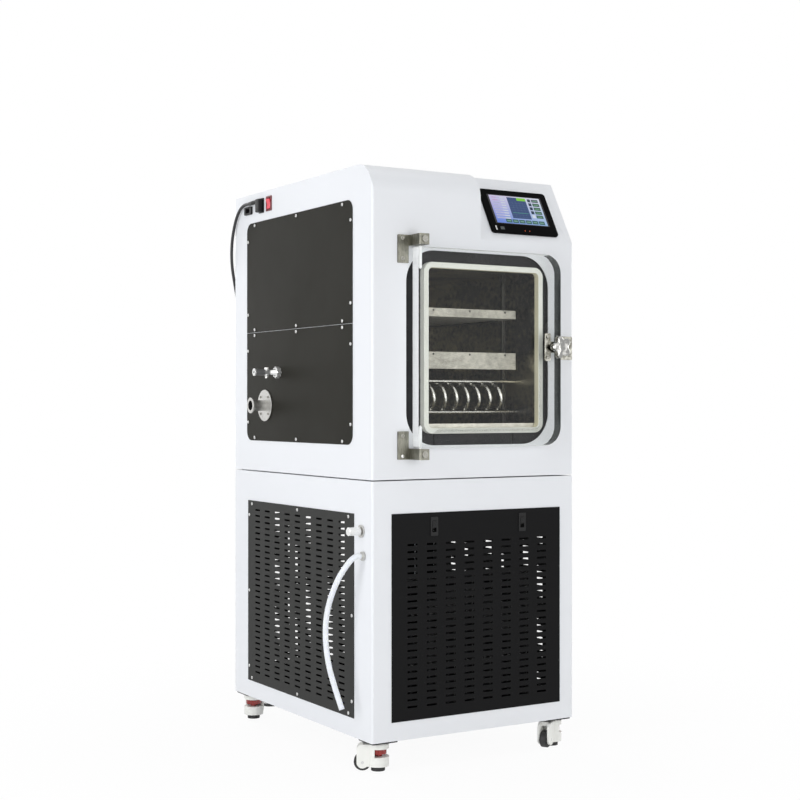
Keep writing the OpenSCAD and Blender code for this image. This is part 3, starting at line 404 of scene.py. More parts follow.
# The mains plug has a waisted grip, a tapered relief and three blades.
lead_end = at(310, 842, 13)
mains = block(at(334, 824, 0), at(368, 860, 26), 0.004, 3)
join(mains, lathe([(0, 0), (5, 0), (5.2, 4), (6.2, 5), (6.2, 8), (5.7, 9), (6.8, 10), (6.8, 14), (6.3, 15),
                   (7.6, 17), (8, 25), (0, 25)], lead_end, (1, 0, 0), 32))
for side in (-1, 1):
    join(mains, block(at(367, 841 + side * 9, 9.5), at(386, 843 + side * 9, 16.5), 0.0004), material=1)
join(mains, block(at(367, 838.5, 19), at(389, 845.5, 21), 0.0004), material=1)
blade_metal, shader, place = finish("blade_metal", metallic=1.0, roughness=0.28)
lay(place.noise(200).tint((0.6, 0.52, 0.34), (0.72, 0.64, 0.44)), shader, "Base Color")
mains = piece("mains_plug_moulded", mains, "cabinet", black_moulded, blade_metal, stands_for=("mains_plug",))

# A hook and loop strap ties the coil.
strap_middle = coil_centre + Vector((0, 0.046, 0.0092))
strap_half = Vector((0.008, 0.0102, 0.0090))
strap = block(strap_middle - strap_half, strap_middle + strap_half, 0.003, 3)
strap_cloth, shader, place = finish("strap_cloth", roughness=0.95)
weave = place.stretched((1600, 1600, 1600)).node("TexChecker", {"Scale": 1.0}, out=1)
lay(weave.tint((0.03, 0.03, 0.034), (0.06, 0.06, 0.066)), shader, "Base Color")
emboss(place.noise(2500, 3), shader, 0.0004)
strap = piece("coil_strap", strap, "cabinet", strap_cloth, slot="cord_black")

round(length_of(cord_line), 2)


# ---------------------------------------------------------------------------
# Cabinets: two boxes of folded and welded sheet steel, one on the other, with
# a white, slightly orange-peeled powder coat. The upper one is a single shell.


def solid(*nodes):
    """CAD nodes that are one real piece, merged into one closed shape without the faces they share."""
    parts = []
    for node in nodes:
        shape = bmesh.new()
        shape.from_mesh(frame["nodes"][node].data)
        bmesh.ops.remove_doubles(shape, verts=shape.verts, dist=2e-6)
        if len(nodes) == 1:
            return shape
        part = bpy.data.objects.new("part", bpy.data.meshes.new("part"))
        shape.to_mesh(part.data)
        shape.free()
        scene.collection.objects.link(part)
        parts.append(part)
    for other in parts[1:]:
        union = parts[0].modifiers.new("union", "BOOLEAN")
        union.operation = "UNION"
        union.solver = "EXACT"
        union.object = other
    shape = bmesh.new()
    shape.from_object(parts[0], bpy.context.evaluated_depsgraph_get())
    for part in parts:
        bpy.data.meshes.remove(part.data)
    bmesh.ops.remove_doubles(shape, verts=shape.verts, dist=2e-6)
    return shape


def softened(nodes, width, angle=30, segments=2):
    """The shape of one or more CAD nodes, with its sharp outer edges rounded."""
    shape = solid(*nodes.split())
    bmesh.ops.dissolve_limit(shape, angle_limit=radians(1), verts=shape.verts, edges=shape.edges)
    sharp = [e for e in shape.edges if e.is_manifold and e.is_convex and e.calc_face_angle() > radians(angle)]
    bmesh.ops.bevel(shape, geom=sharp, offset=width, segments=segments, profile=0.5, affect="EDGES",
                    clamp_overlap=True, material=-1)
    return shape


powder_white, shader, place = finish("powder_white", roughness=0.36, coat_weight=0.12, coat_roughness=0.25)
lay(place.noise(2.2, 2).tint((0.83, 0.845, 0.875), (0.87, 0.88, 0.9)), shader, "Base Color")
lay(place.noise(6, 3) * 0.1 + 0.32, shader, "Roughness")
emboss(place.noise(420, 2, 0.6), shader, 0.00006, 0.5)

upper_nodes = ("upper_front", "upper_sides", "upper_base")
piece("upper_cabinet", softened(" ".join(upper_nodes), 0.0008), "cabinet", powder_white, stands_for=upper_nodes)

# The lower cabinet's large inward faces are near black: painted shade for the dark inside seen through the
# grilles.
least_shaded_area = 0.004
inner_walls_shade_black, shader, place = finish("inner_walls_shade_black", roughness=0.95, specular_ior_level=0.02)
lay(place.noise(40, 3).tint((0.002, 0.002, 0.002), (0.005, 0.005, 0.005)), shader, "Base Color")
lower = softened("lower_housing", 0.0008)
lower.normal_update()
lower_middle = (cabinet_low + cabinet_high) / 2
for face in lower.faces:
    inward = (lower_middle - face.calc_center_median()).dot(face.normal) > 0
    face.material_index = 1 if inward and face.calc_area() > least_shaded_area else 0
piece("lower_cabinet", lower, "cabinet", powder_white, inner_walls_shade_black, stands_for=("lower_housing",))


# ---------------------------------------------------------------------------
# Covers and grilles: dark, finely textured powder coat on thin steel, held to
# the cabinets by stainless pan-head screws with cross recesses.


def dark_powder(name, low, high, roughness):
    """A textured powder coat between two dark colours."""
    made, shader, place = finish(name, specular_ior_level=0.1)
    lay((place.noise(3.2, 3) * 0.7 + place.noise(700, 1) * 0.3).tint(low, high), shader, "Base Color")
    lay(place.noise(9, 3) * 0.12 + (roughness - 0.06), shader, "Roughness")
    emboss(place.noise(1500, 3, 0.6), shader, 0.00012, 0.6)
    return made


cover_grey = dark_powder("cover_grey_powder", (0.0095, 0.0088, 0.0055), (0.015, 0.014, 0.0095), 0.5)
grille_grey = dark_powder("grille_grey_powder", (0.026, 0.0263, 0.025), (0.041, 0.0415, 0.0395), 0.5)
panel_black = dark_powder("panel_black_powder", (0.003, 0.003, 0.0033), (0.0055, 0.0055, 0.006), 0.45)

piece("cover_plates", softened("covers", 0.0004, segments=1), "cabinet", cover_grey, stands_for=("covers",))


def coated(coat, *nodes):
    """Gives CAD nodes whose shape is right their finish."""
    for node in nodes:
        mesh = frame["nodes"][node].data
        mesh.materials.clear()
        mesh.materials.append(coat)
        mesh.polygons.foreach_set("material_index", [0] * len(mesh.polygons))


coated(grille_grey, "grilles")
coated(panel_black, "front_panel")

screw_steel, shader, place = finish("screw_steel", metallic=1.0)
lay(place.noise(300, 2).tint((0.62, 0.62, 0.62), (0.8, 0.8, 0.79)), shader, "Base Color")
lay(place.noise(500, 2) * 0.2 + 0.2, shader, "Roughness")


def screw_head(shape, place, outward, turn):
    """A domed head with a cross recess: a grid whose middle cross is pushed in, pulled out round."""
    radius, height = 4.2, 2.2
    head = bmesh.new()
    bmesh.ops.create_grid(head, x_segments=5, y_segments=5, size=1)
    cross = [f for f in head.faces
             if min(abs(f.calc_center_median().x), abs(f.calc_center_median().y)) < 0.1
             and f.calc_center_median().length < 0.6]
    for vert in head.verts:
        reach = max(abs(vert.co.x), abs(vert.co.y))
        if reach > 0.7:
            vert.co *= reach / vert.co.length
        vert.co *= radius / 1000
        vert.co.z = height / 1000 * (1 - 0.45 * min(1, reach) ** 2)
    sunk = bmesh.ops.extrude_face_region(head, geom=cross)["geom"]
    bmesh.ops.translate(head, verts=[v for v in sunk if isinstance(v, bmesh.types.BMVert)],
                        vec=(0, 0, -height / 1800))
    bmesh.ops.delete(head, geom=cross, context="FACES")
    rim = [e for e in head.edges if e.is_boundary]
    skirt = bmesh.ops.extrude_edge_only(head, edges=rim)["geom"]
    for vert in skirt:
        if isinstance(vert, bmesh.types.BMVert):
            vert.co.z = 0
    turned = Vector(outward).to_track_quat("Z", "X").to_matrix() @ Matrix.Rotation(turn, 3, "Z")
    bmesh.ops.rotate(head, verts=head.verts, matrix=turned)
    bmesh.ops.translate(head, verts=head.verts, vec=place)
    bmesh.ops.recalc_face_normals(head, faces=head.faces)
    return join(shape, head)


def loose_parts(node):
    """The lowest and highest corner of each separate part of a CAD node, in order of the lowest."""
    shape = solid(node)
    waiting = set(shape.verts)
    boxes = []
    while waiting:
        group, fringe = set(), {waiting.pop()}
        while fringe:
            group |= fringe
            fringe = {e.other_vert(v) for v in fringe for e in v.link_edges} - group
        waiting -= group
        low = Vector(min(v.co[i] for v in group) for i in range(3))
        high = Vector(max(v.co[i] for v in group) for i in range(3))
        boxes.append((low, high))
    shape.free()
    return sorted(boxes, key=lambda box: tuple(box[0]))


socket_steel, shader, place = finish("socket_steel", metallic=1.0, roughness=0.3)
lay(place.noise(400, 2).tint((0.16, 0.155, 0.14), (0.56, 0.55, 0.5)), shader, "Base Color")


def button_head(shape, place, outward, radius, height, socket):
    """A round head with a deep hexagon socket in its middle."""
    head = lathe([(0, 0), (radius, 0), (radius, 0.35 * height), (0.8 * radius, 0.8 * height), (socket, height),
                  (socket, 0.1 * height), (0, 0.1 * height)], place, outward, 24)
    return join(shape, head)


# Cross-headed screws hold the sheets, socket screws the port's disc and the hinge
# plates, and one slotted screw the front of each hinge arm.
widest_head = 0.012
disc_face = at(-3.5, 0, 0).x
lower_top = at(0, 0, 760).z
arm_front = at(0, -54, 0).y
screws, hinge_screws = bmesh.new(), bmesh.new()
for index, (low, high) in enumerate(loose_parts("cover_screws")):
    size = high - low
    if max(size) > widest_head:
        continue
    centre = (low + high) / 2
    if size.x < min(size.y, size.z):
        outward = Vector((-1 if centre.x < 0 else 1, 0, 0))
    else:
        outward = Vector((0, -1 if centre.y < 0 else 1, 0))
    foot = centre - outward * min(size.x, size.y) / 2
    on_disc = foot.x < disc_face
    on_hinge = outward.y < 0 and foot.z > lower_top
    if on_disc or on_hinge:
        button_head(hinge_screws, foot, outward, 3.4 if on_disc else 5, 2.2, 2.3)
    else:
        screw_head(screws, foot, outward, index * 0.7)
slotted = softened("cover_screws", 0.0004)
bmesh.ops.delete(slotted, geom=[v for v in slotted.verts if v.co.y > arm_front], context="VERTS")
join(hinge_screws, slotted)
piece("screw_heads", screws, "cabinet", screw_steel, stands_for=("cover_screws",), sharp=50)
piece("hinge_screw_heads", hinge_screws, "cabinet", socket_steel, slot="screw_steel", sharp=50)


# ---------------------------------------------------------------------------
# Chamber: welded stainless sheet with a brushed grain, in a black foam jacket,
# with a cream silicone channel pushed over its front rim.


def brushed(name, low, high, roughness, grain):
    """Stainless steel with its brush marks along the axis whose grain is smallest."""
    made, shader, place = finish(name, metallic=1.0)
    marks = place.stretched(grain).noise(4.0, 5, 0.65)
    worn = marks * 0.4 + place.noise(5, 3) * 0.3 + place.noise(60, 3) * 0.3
    lay(worn.between(0.38, 0.62).tint(low, high), shader, "Base Color")
    lay(marks * 0.22 + (roughness - 0.11), shader, "Roughness")
    emboss(marks, shader, 0.00004, 0.5)
    return made


chamber_steel, shader, place = finish("chamber_steel", metallic=1.0)
# Tall random patches, from dark grey to pale warm grey, over the whole chamber.
chamber_patches = (place.stretched((1, 1, 2.5)).noise(5, 4, 0.6) * 0.75 + place.noise(90, 2) * 0.25).between(0.38, 0.62)
lay(chamber_patches.tint((0.11, 0.11, 0.115), (0.5, 0.46, 0.34)), shader, "Base Color")
lay(place.stretched((160, 3, 160)).noise(4, 4) * 0.25 + 0.25, shader, "Roughness")
emboss(place.noise(18, 2), shader, 0.002, 0.3)
piece("chamber_box", softened("chamber", 0.0008), "cabinet", chamber_steel, stands_for=("chamber",))

foam_black, shader, place = finish("foam_black", roughness=0.85, specular_ior_level=0.2)
lay(place.noise(40, 4).tint((0.022, 0.022, 0.024), (0.046, 0.046, 0.049)), shader, "Base Color")
emboss(place.noise(420, 3), shader, 0.0008, 0.8)
coated(foam_black, "chamber_jacket")

cream_silicone, shader, place = finish("cream_silicone", roughness=0.42)
lay(place.noise(16, 3).tint((0.86, 0.865, 0.79), (0.91, 0.915, 0.85)), shader, "Base Color")
emboss(place.noise(300, 2), shader, 0.00015, 0.4)
# The channel's inward-facing walls get a darker, yellower cream: painted shade in its lip.
gasket_lip_shade, shader, place = finish("gasket_lip_shade", roughness=0.4)
lay(place.noise(12, 3).tint((0.78, 0.72, 0.5), (0.9, 0.86, 0.68)), shader, "Base Color")
gasket = softened("door_gasket", 0.0018, segments=3)
gasket.normal_update()
gasket_low, gasket_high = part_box("door_gasket")
for face in gasket.faces:
    inward = (gasket_low + gasket_high) / 2 - face.calc_center_median()
    face.material_index = 1 if abs(face.normal.y) < 0.5 and inward.dot(face.normal) > 0 else 0
piece("gasket_channel", gasket, "cabinet", cream_silicone, gasket_lip_shade, stands_for=("door_gasket",))


# ---------------------------------------------------------------------------
# Shelves: two flat stainless plates, the lower one with a tall front apron, in a
# rack welded from square bar. Small screws hold their front edges.

shelf_steel = brushed("shelf_steel", (0.3, 0.29, 0.255), (0.6, 0.58, 0.52), 0.62, grain=(30, 240, 240))
# The rack and the shelf screws are near-black steel: painted shade, so they sink into the dark chamber.
rack_steel_shade_dark = brushed("rack_steel_shade_dark", (0.05, 0.048, 0.043), (0.1, 0.098, 0.088), 0.45, grain=(240, 240, 3))
piece("shelf_rack_frame", softened("shelf_rack", 0.0008), "cabinet", rack_steel_shade_dark, stands_for=("shelf_rack",))
piece("shelf_plates", softened("shelves", 0.0012), "cabinet", shelf_steel, stands_for=("shelves",))
shelf_screws = bmesh.new()
for shelf_top in (1013.5, 1122.5):
    for x in (211, 319.5, 428):
        button_head(shelf_screws, at(x, 60, shelf_top - 6), (0, -1, 0), 2.6, 1.2, 1.3)
piece("shelf_screws", shelf_screws, "cabinet", rack_steel_shade_dark, slot="screw_steel", sharp=50)

# A low sill inside the mouth keeps meltwater off the gasket.
sill_steel = brushed("sill_steel", (0.55, 0.53, 0.48), (0.8, 0.78, 0.72), 0.55, grain=(3, 240, 240))
sill = block(at(151, 12, 819.8), at(488, 14, 834.5), 0.0006)
piece("drip_sill", sill, "cabinet", sill_steel, slot=slot_of_node["chamber"])


# ---------------------------------------------------------------------------
# Condenser: drawn stainless tube under the shelves, bent in long upright turns,
# on four cross rods that are fixed to the chamber's sides.

coil_low, coil_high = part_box("condenser_coil")
tube_radius = 0.005
just_inside = 0.995
turns = 8
pitch = 0.034
bend_steps = 16
turn_steps = 2 * bend_steps + 2
bend_radius = (coil_high.z - coil_low.z) / 2 - tube_radius
bend_front = coil_low.y + tube_radius + bend_radius
bend_rear = coil_high.y - tube_radius - bend_radius
coil_start = coil_low.x + tube_radius
coil_middle = (coil_low.z + coil_high.z) / 2
coil_line = []
for turn in range(turns):
    for step in range(turn_steps):
        x = coil_start + pitch * (turn + step / turn_steps)
        if step <= bend_steps:
            angle = radians(90 + 180 * step / bend_steps)
            y = bend_front + bend_radius * cos(angle)
        else:
            angle = radians(-90 - 180 * (step - bend_steps - 1) / bend_steps)
            y = bend_rear - bend_radius * cos(angle)
        coil_line.append(Vector((x, y, coil_middle + bend_radius * sin(angle))))

tube_steel, shader, place = finish("tube_steel", metallic=1.0)
lay(place.noise(30, 3).tint((0.6, 0.59, 0.55), (0.74, 0.73, 0.7)), shader, "Base Color")
lay(place.noise(60, 3) * 0.15 + 0.18, shader, "Roughness")
piece("condenser_tube", tube(coil_line, tube_radius * just_inside, 14), "cabinet", tube_steel,
      stands_for=("condenser_coil",))
coated(tube_steel, "coil_rods")


# ---------------------------------------------------------------------------
# Door: one 26 mm slab of clear acrylic, drilled from both ends for the hinge pins.
# Its edges are sawn and frosted, but the free edge and its corners are polished.

door_low, door_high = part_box("door_panel")


def on_broad_face(vert):
    return min(abs(vert.co.y - y) for y in (door_low.y, door_high.y)) < 1e-5


door = solid("door_panel")
bmesh.ops.dissolve_limit(door, angle_limit=radians(1), verts=door.verts, edges=door.edges)
rims = [e for e in door.edges
        if e.is_manifold and e.calc_face_angle() > radians(40) and all(on_broad_face(v) for v in e.verts)]
bmesh.ops.bevel(door, geom=rims, offset=0.0012, segments=2, profile=0.5, affect="EDGES", material=-1)
door.normal_update()
hinge_pin = at(122, -21, 1000)
bore_reach = 0.008
for face in door.faces:
    across, forward = face.normal.x, face.normal.y
    from_pin = face.calc_center_median() - hinge_pin
    if math.hypot(from_pin.x, from_pin.y) < bore_reach:
        face.material_index = 3
    elif abs(forward) > 0.99:
        face.material_index = 0
    else:
        face.material_index = 2 if across > 0.25 else 1

# Its faces let light straight through and mirror the room at a glancing view.
clear_acrylic, shader, place = finish("clear_acrylic", base_color=(0.9, 0.92, 0.92), roughness=0.02)
clear = place.node("BsdfTransparent", {"Color": (0.985, 0.99, 0.985, 1)})
gloss = place.node("BsdfGlossy", {"Color": (1, 1, 1, 1), "Roughness": 0.02})
facing = place.node("LayerWeight", {"Blend": 0.5}, out=1)
glance = facing.math("POWER", facing, 4) * 0.3 + 0.016
show(place.node("MixShader", {0: glance, 1: clear, 2: gloss}))
frosted_edge, shader, place = finish("frosted_acrylic_edge", base_color=(0.92, 0.93, 0.93), roughness=0.5)
saw_marks = place.stretched((500, 2, 500)).noise(3, 3)
edge_glass = place.node("BsdfTransparent", {"Color": (0.97, 0.98, 0.98, 1)})
edge_frost = Flow(frosted_edge.node_tree, shader.outputs[0])
show(place.node("MixShader", {0: saw_marks * 0.2 + 0.7, 1: edge_glass, 2: edge_frost}))
# The clear polished edge is given an opaque near-black colour: painted shade for how dark it looks.
polished_edge_painted_dark, shader, place = finish("polished_acrylic_edge_painted_dark", roughness=0.12)
drawn = place.stretched((4, 4, 18)).noise(2, 2)
lay(drawn.tint((0.02, 0.024, 0.024), (0.06, 0.066, 0.064)), shader, "Base Color")
# The bores' walls are frosted white, and their faint glow is painted light.
drilled, shader, place = finish("drilled_acrylic_glowing", roughness=0.45, emission_color=(0.9, 0.93, 0.93),
                                emission_strength=0.2)
drill_marks = place.stretched((90, 90, 4)).noise(3, 2)
lay(drill_marks.tint((0.86, 0.88, 0.88), (0.95, 0.96, 0.96)), shader, "Base Color")
piece("door_slab", door, "door", clear_acrylic, frosted_edge, polished_edge_painted_dark, drilled,
      stands_for=("door_panel",), sharp=30)


# ---------------------------------------------------------------------------
# Hinges: stainless blocks milled from bar and screwed to the cabinet, with
# polished pins that are pressed in from outside.

satin_steel = brushed("satin_steel", (0.13, 0.13, 0.108), (0.3, 0.295, 0.25), 0.36, grain=(120, 120, 12))
piece("hinge_blocks", softened("hinge_brackets", 0.001), "cabinet", satin_steel, stands_for=("hinge_brackets",))
pin_steel = brushed("pin_steel", (0.62, 0.62, 0.6), (0.76, 0.76, 0.74), 0.25, grain=(200, 200, 4))
coated(pin_steel, "hinge_pins")


# ---------------------------------------------------------------------------
# Clamp: a polished lug screwed to the door, a bracket with a boss screwed to the
# cabinet, and a chromed star knob whose stud goes through both.

clamp_steel, shader, place = finish("clamp_steel", metallic=1.0)
# Its dark and bright blotches are painted reflections of the polished steel.
lay(place.noise(65).between(0.33, 0.67).tint((0.2, 0.193, 0.16), (0.68, 0.67, 0.6)), shader, "Base Color")
lay(place.noise(50, 3) * 0.2 + 0.12, shader, "Roughness")
piece("clamp_lug", softened("door_lug", 0.0006), "door", clamp_steel, stands_for=("door_lug",))
piece("clamp_bracket", softened("latch_bracket", 0.0006), "cabinet", clamp_steel, stands_for=("latch_bracket",))
lug_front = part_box("door_lug")[0].y
lug_screws = bmesh.new()
for z in (1000.5, 1052.5):
    button_head(lug_screws, Vector((at(491, 0, 0).x, lug_front, at(0, 0, z).z)), (0, -1, 0), 4.5, 2.2, 2.2)
piece("lug_screws", lug_screws, "door", socket_steel, slot="screw_steel", sharp=50)

chrome, shader, place = finish("bright_chrome", metallic=1.0)
# Dark and bright blotches on the chrome are painted reflections and shade.
painted_glints = place.noise(75, 2, 0.4).between(0.38, 0.62)
lay(painted_glints.tint((0.31, 0.31, 0.3), (0.76, 0.75, 0.72)), shader, "Base Color")
lay(place.noise(80, 3) * 0.1 + 0.06, shader, "Roughness")
knob_centre = at(522, -38, 1026.5)
lobes, lobe_swell, full_lobe_radius = 5, 0.088, 0.02
knob = lathe([(0, 6.2), (20, 6.2), (24.2, 7.6), (25.7, 10), (25.7, 16), (24.2, 19.4), (20, 21.4), (13, 22),
              (12, 23.4), (10, 24), (0, 24)], knob_centre, (0, -1, 0), 120)
for vert in knob.verts:
    spoke = vert.co - knob_centre
    reach = min(1, Vector((spoke.x, spoke.z)).length / full_lobe_radius) ** 3
    lobe = cos(lobes * (math.atan2(spoke.z, spoke.x) - pi))
    swell = 1 + lobe_swell * reach * (lobe + sin(pi / 2 * lobe))
    vert.co.x = knob_centre.x + spoke.x * swell
    vert.co.z = knob_centre.z + spoke.z * swell
join(knob, lathe([(0, -37), (5, -37), (5, 6), (0, 6)], knob_centre, (0, -1, 0), 32))
join(knob, lathe([(0, 0.3), (9, 0.3), (9, 6.2), (0, 6.2)], knob_centre, (0, -1, 0), 32))
piece("star_knob_chromed", knob, "clamp_knob", chrome, stands_for=("star_knob",))


# ---------------------------------------------------------------------------
# Console: a touch screen in a black bezel on the sloped face, with a picture of
# plain coloured fields, two orange lamps and two small keys.

face_run, face_rise = 95, 169
face_tilt = math.atan2(face_rise, face_run)
slope = Matrix.Translation(at(0, 0, 1292)) @ Matrix.Rotation(face_tilt, 4, "X") @ Matrix.Scale(0.001, 4)
bezel_gloss, shader, place = finish("bezel_gloss", roughness=0.3, specular_ior_level=0.02)
lay(place.noise(20, 2).tint((0.002, 0.002, 0.0022), (0.004, 0.004, 0.0044)), shader, "Base Color")
piece("screen_bezel", softened("screen_housing", 0.0012, segments=3), "cabinet", bezel_gloss,
      stands_for=("screen_housing",))

screen_glass, shader, place = finish("screen_glass_black", base_color=(0.006, 0.007, 0.009), roughness=0.08)
coated(screen_glass, "screen_glass")

# The picture: fields of colour laid a hair above the glass, each with its colour on its faces.
picture = bmesh.new()
ink = picture.loops.layers.float_color.new("ink")
picture_left, picture_foot, picture_width, picture_height = 377, 52, 158, 86
above_glass, layer = 6.55, 0.03


def field(x0, v0, x1, v1, level, *colours):
    """A rectangle in shares of the picture's width and height, in one colour or one for each corner."""
    verts = []
    height = above_glass + layer * level
    for x, v in ((x0, v0), (x1, v0), (x1, v1), (x0, v1)):
        corner = Vector((picture_left + x * picture_width, picture_foot + v * picture_height, height))
        verts.append(picture.verts.new(slope @ corner))
    face = picture.faces.new(verts)
    for loop, colour in zip(face.loops, colours if len(colours) == 4 else colours * 4):
        loop[ink] = (*colour, 1)


sky = ((0.14, 0.26, 0.8), (0.36, 0.56, 0.86), (0.8, 0.84, 0.95), (0.7, 0.62, 0.88))
field(0, 0, 1, 1, 0, *sky)
for row in range(9):
    top = 0.95 - row * 0.092
    mark = (0.7, 0.2, 0.45) if row < 2 else (0.4, 0.46, 0.6)
    field(0.03, top - 0.052, 0.3, top, 1, (0.56, 0.56, 0.84))
    field(0.05, top - 0.034, 0.13 + 0.02 * (row % 3), top - 0.02, 2, mark)
    field(0.2, top - 0.04, 0.29, top - 0.012, 2, (0.72, 0.8, 0.84))
field(0.345, 0.2, 0.715, 0.965, 1, (0.05, 0.09, 0.22))
field(0.535, 0.86, 0.715, 0.965, 2, (0.25, 0.66, 0.06))
for line in range(7):
    field(0.36, 0.25 + line * 0.085, 0.7, 0.2535 + line * 0.085, 2, (0.14, 0.22, 0.38))
for column in range(6):
    field(0.36 + column * 0.068, 0.24, 0.3625 + column * 0.068, 0.84, 2, (0.12, 0.19, 0.34))
field(0.38, 0.4, 0.69, 0.41, 3, (0.1, 0.5, 0.3))
for row in range(5):
    top = 0.95 - row * 0.145
    field(0.75, top - 0.11, 0.81, top, 1, (0.75, 0.8, 0.9) if row == 4 else (0.03, 0.05, 0.09))
    field(0.83, top - 0.11, 0.965, top, 1, (0.05, 0.12, 0.09) if row else (0.1, 0.12, 0.16))
    field(0.85, top - 0.07, 0.945, top - 0.04, 2, (0.2, 0.42, 0.26))
for key in range(6):
    field(0.185 + key * 0.13, 0.03, 0.3 + key * 0.13, 0.155, 1, (0.04, 0.13, 0.12))
    field(0.205 + key * 0.13, 0.07, 0.28 + key * 0.13, 0.115, 2, (0.2, 0.4, 0.32))

lit_picture, shader, place = finish("lit_picture", base_color=(0.01, 0.01, 0.01), roughness=0.1,
                                    emission_strength=0.8, specular_ior_level=0.1)
lay(place.node("VertexColor", {}, {"layer_name": "ink"}), shader, "Emission Color")
piece("screen_picture", picture, "cabinet", lit_picture, slot="screen_glass")

lamps = bmesh.new()
for x in (455, 469):
    dot = bmesh.ops.create_uvsphere(lamps, u_segments=16, v_segments=8, radius=1.15)["verts"]
    bmesh.ops.scale(lamps, verts=dot, vec=(1, 1, 0.35))
    bmesh.ops.translate(lamps, verts=dot, vec=(x, 31, 7.0))
lamps.transform(slope)
lamp_orange, shader, place = finish("lamp_orange", base_color=(0.5, 0.08, 0.02), roughness=0.3,
                                    emission_color=(1.0, 0.16, 0.03), emission_strength=0.55)
piece("screen_lamps", lamps, "cabinet", lamp_orange, slot="screen_glass")

keys = bmesh.new()
for x, w, tall, index in ((367, 4, 13, 0), (386, 12, 9, 1)):
    key = block(Vector((x - w / 2, 35 - tall / 2, 6.6)), Vector((x + w / 2, 35 + tall / 2, 7.5)), 0.4)
    join(keys, key, material=index)
keys.transform(slope)
key_white, shader, place = finish("key_white", base_color=(0.7, 0.7, 0.7), roughness=0.4)
key_grey, shader, place = finish("key_grey", base_color=(0.05, 0.06, 0.06), roughness=0.4)
piece("screen_keys", keys, "cabinet", key_white, key_grey, slot="black_plastic")


# ---------------------------------------------------------------------------
# Switch and sockets: moulded parts that snap into the left side. The red rocker
# tips in its frame, and behind it are the inlet and a spare socket.

rocker_red, shader, place = finish("rocker_red", roughness=0.25, coat_weight=0.3,
                                   emission_color=(0.8, 0.03, 0.05), emission_strength=0.12)
lay(place.noise(60, 2).tint((0.72, 0.04, 0.07), (0.8, 0.06, 0.1)), shader, "Base Color")
frame_red, shader, place = finish("rocker_frame_red", roughness=0.35)
lay(place.noise(60, 2).tint((0.12, 0.008, 0.012), (0.18, 0.012, 0.018)), shader, "Base Color")
piece("rocker_key", softened("rocker", 0.0006), "rocker", rocker_red, stands_for=("rocker",))
piece("rocker_frame", softened("switch_frame", 0.0008), "cabinet", frame_red, stands_for=("switch_frame",))
piece("socket_bodies", softened("power_sockets", 0.0008), "cabinet", black_moulded,
      stands_for=("power_sockets",))


# ---------------------------------------------------------------------------
# Ports: turned stainless fittings. A flanged vacuum tube and the vent valve sit
# on the left cover, and the drain valve with its hose port on the lower cabinet.

turned_steel, shader, place = finish("turned_steel", metallic=1.0)
rings_of_tool = place.stretched((1200, 30, 30)).noise(3, 3)
blotches = place.noise(30, 3) * 0.4 + place.noise(170, 2) * 0.6
lay(blotches.tint((0.36, 0.355, 0.34), (0.76, 0.755, 0.73)), shader, "Base Color")
lay(rings_of_tool * 0.2 + 0.22, shader, "Roughness")
emboss(rings_of_tool, shader, 0.00003, 0.5)
polished_steel, shader, place = finish("polished_steel", metallic=0.65, base_color=(0.84, 0.84, 0.83))
lay(place.noise(90, 3) * 0.12 + 0.1, shader, "Roughness")
# Faces round the port's axis, the bore's walls, are near black: painted shade inside the bore.
bore_shade_black, shader, place = finish("bore_shade_black", roughness=0.6)
lay(place.noise(60, 3).tint((0.006, 0.006, 0.006), (0.02, 0.02, 0.019)), shader, "Base Color")
port_axis = at(0, 576, 879)
port_bore_reach = 0.0134
port = softened("vacuum_port", 0.0006, angle=40)
port.normal_update()
for face in port.faces:
    spoke = face.calc_center_median() - port_axis
    face.material_index = 1 if abs(face.normal.x) < 0.5 and spoke.yz.length < port_bore_reach else 0
piece("vacuum_port_turned", port, "cabinet", turned_steel, bore_shade_black, stands_for=("vacuum_port",))
sleeve_grey, shader, place = finish("sleeve_grey", metallic=0.6)
lay(place.noise(60, 3).tint((0.2, 0.2, 0.2), (0.3, 0.3, 0.3)), shader, "Base Color")
lay(place.noise(90, 3) * 0.12 + 0.3, shader, "Roughness")
sleeve_end, sleeve_start = at(-70.5, 0, 0).x, at(-46.5, 0, 0).x
vent = softened("vent_valve", 0.0005, angle=40)
for face in vent.faces:
    face.material_index = 1 if sleeve_end < face.calc_center_median().x < sleeve_start else 0
piece("vent_valve_body", vent, "cabinet", polished_steel, sleeve_grey, stands_for=("vent_valve",))
piece("vent_key_turned", softened("vent_key", 0.0004, angle=40), "vent_key", chrome, stands_for=("vent_key",))
piece("drain_valve_turned", softened("drain_valve", 0.0006, angle=40), "cabinet", turned_steel,
      stands_for=("drain_valve",))
piece("drain_knob_turned", softened("drain_knob", 0.0003, angle=40), "drain_knob", polished_steel,
      stands_for=("drain_knob",))


# ---------------------------------------------------------------------------
# Front panel latches: ridged black slides whose tongues go behind the cabinet's
# edge. They run up and down in moulded frames, which are pressed into the panel.

piece("latch_frames_moulded", softened("latch_frames", 0.0005), "cabinet", black_moulded,
      stands_for=("latch_frames",))
for side in ("left", "right"):
    piece(f"latch_slide_{side}", softened(f"latch_slider_{side}", 0.0003), f"{side}_slider", black_moulded,
          stands_for=(f"latch_slider_{side}",))


# ---------------------------------------------------------------------------
# Refrigeration unit behind the grilles: an enamelled compressor, a finned
# radiator, and a moulded fan in its shroud, all fixed to the cabinet's frame.

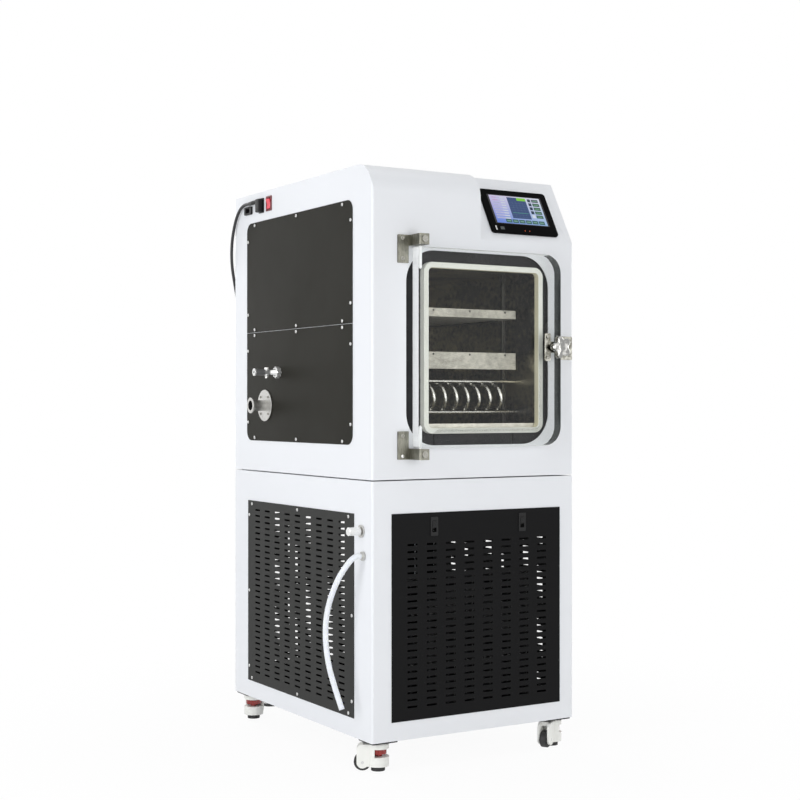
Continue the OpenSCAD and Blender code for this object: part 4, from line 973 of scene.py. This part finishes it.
black_enamel, shader, place = finish("black_enamel", roughness=0.25, coat_weight=0.4)
lay(place.noise(30, 3).tint((0.012, 0.012, 0.012), (0.03, 0.03, 0.03)), shader, "Base Color")
fin_metal, shader, place = finish("fin_metal", metallic=1.0)
lay(place.noise(40, 3).tint((0.16, 0.16, 0.16), (0.3, 0.3, 0.3)), shader, "Base Color")
lay(place.noise(70, 3) * 0.3 + 0.3, shader, "Roughness")
coated(black_enamel, "compressor")
coated(fin_metal, "radiator")
coated(black_moulded, "fan_shroud", "fan_rotor")


# ---------------------------------------------------------------------------
# Casters: a nylon body on a swivel plate, a black wheel, and a levelling foot
# that a red thumbwheel winds down.

nylon, shader, place = finish("white_nylon", roughness=0.38)
lay(place.noise(40, 3).tint((0.86, 0.86, 0.81), (0.92, 0.92, 0.88)), shader, "Base Color")
emboss(place.noise(600, 2), shader, 0.00008, 0.4)
tread, shader, place = finish("wheel_tread", roughness=0.55)
lay(place.noise(70, 4).tint((0.012, 0.012, 0.012), (0.035, 0.034, 0.033)), shader, "Base Color")
emboss(place.noise(900, 3), shader, 0.0002, 0.6)
dial_red, shader, place = finish("dial_red", roughness=0.16, coat_weight=0.4, coat_roughness=0.08)
lay(place.noise(60, 3).tint((0.2, 0.004, 0.002), (0.32, 0.008, 0.004)), shader, "Base Color")
pad_rubber, shader, place = finish("pad_rubber", roughness=0.75)
lay(place.noise(70, 4).tint((0.014, 0.014, 0.014), (0.04, 0.04, 0.04)), shader, "Base Color")
coated(black_moulded, "caster_plates")
axle_height, axle_trail = 21.5, 0.0375
for corner, x, y, turn in (("front_left", 40, 40, 149), ("front_right", 560, 40, -150),
                           ("rear_left", 40, 735, 50), ("rear_right", 560, 735, 20)):
    heading = Vector((cos(radians(turn)), sin(radians(turn)), 0))
    axle = lathe([(0, -17.1), (3.2, -17.1), (3.7, -16.6), (3.7, 16.6), (3.2, 17.1), (0, 17.1)],
                 at(x, y, axle_height) + axle_trail * heading, (-heading.y, heading.x, 0), 24)
    piece(f"axle_{corner}", axle, f"caster_{corner}", screw_steel, slot="screw_steel")
    piece(f"caster_housing_{corner}", softened(f"caster_body_{corner}", 0.0006), f"caster_{corner}", nylon,
          stands_for=(f"caster_body_{corner}",))
    piece(f"caster_tyre_{corner}", softened(f"caster_wheel_{corner}", 0.0005), f"wheel_{corner}", tread,
          stands_for=(f"caster_wheel_{corner}",))
    piece(f"levelling_foot_{corner}", softened(f"caster_foot_{corner}", 0.0006), f"foot_{corner}", pad_rubber,
          stands_for=(f"caster_foot_{corner}",))
    piece(f"thumbwheel_{corner}", softened(f"caster_dial_{corner}", 0.0006), f"dial_{corner}", dial_red,
          stands_for=(f"caster_dial_{corner}",))
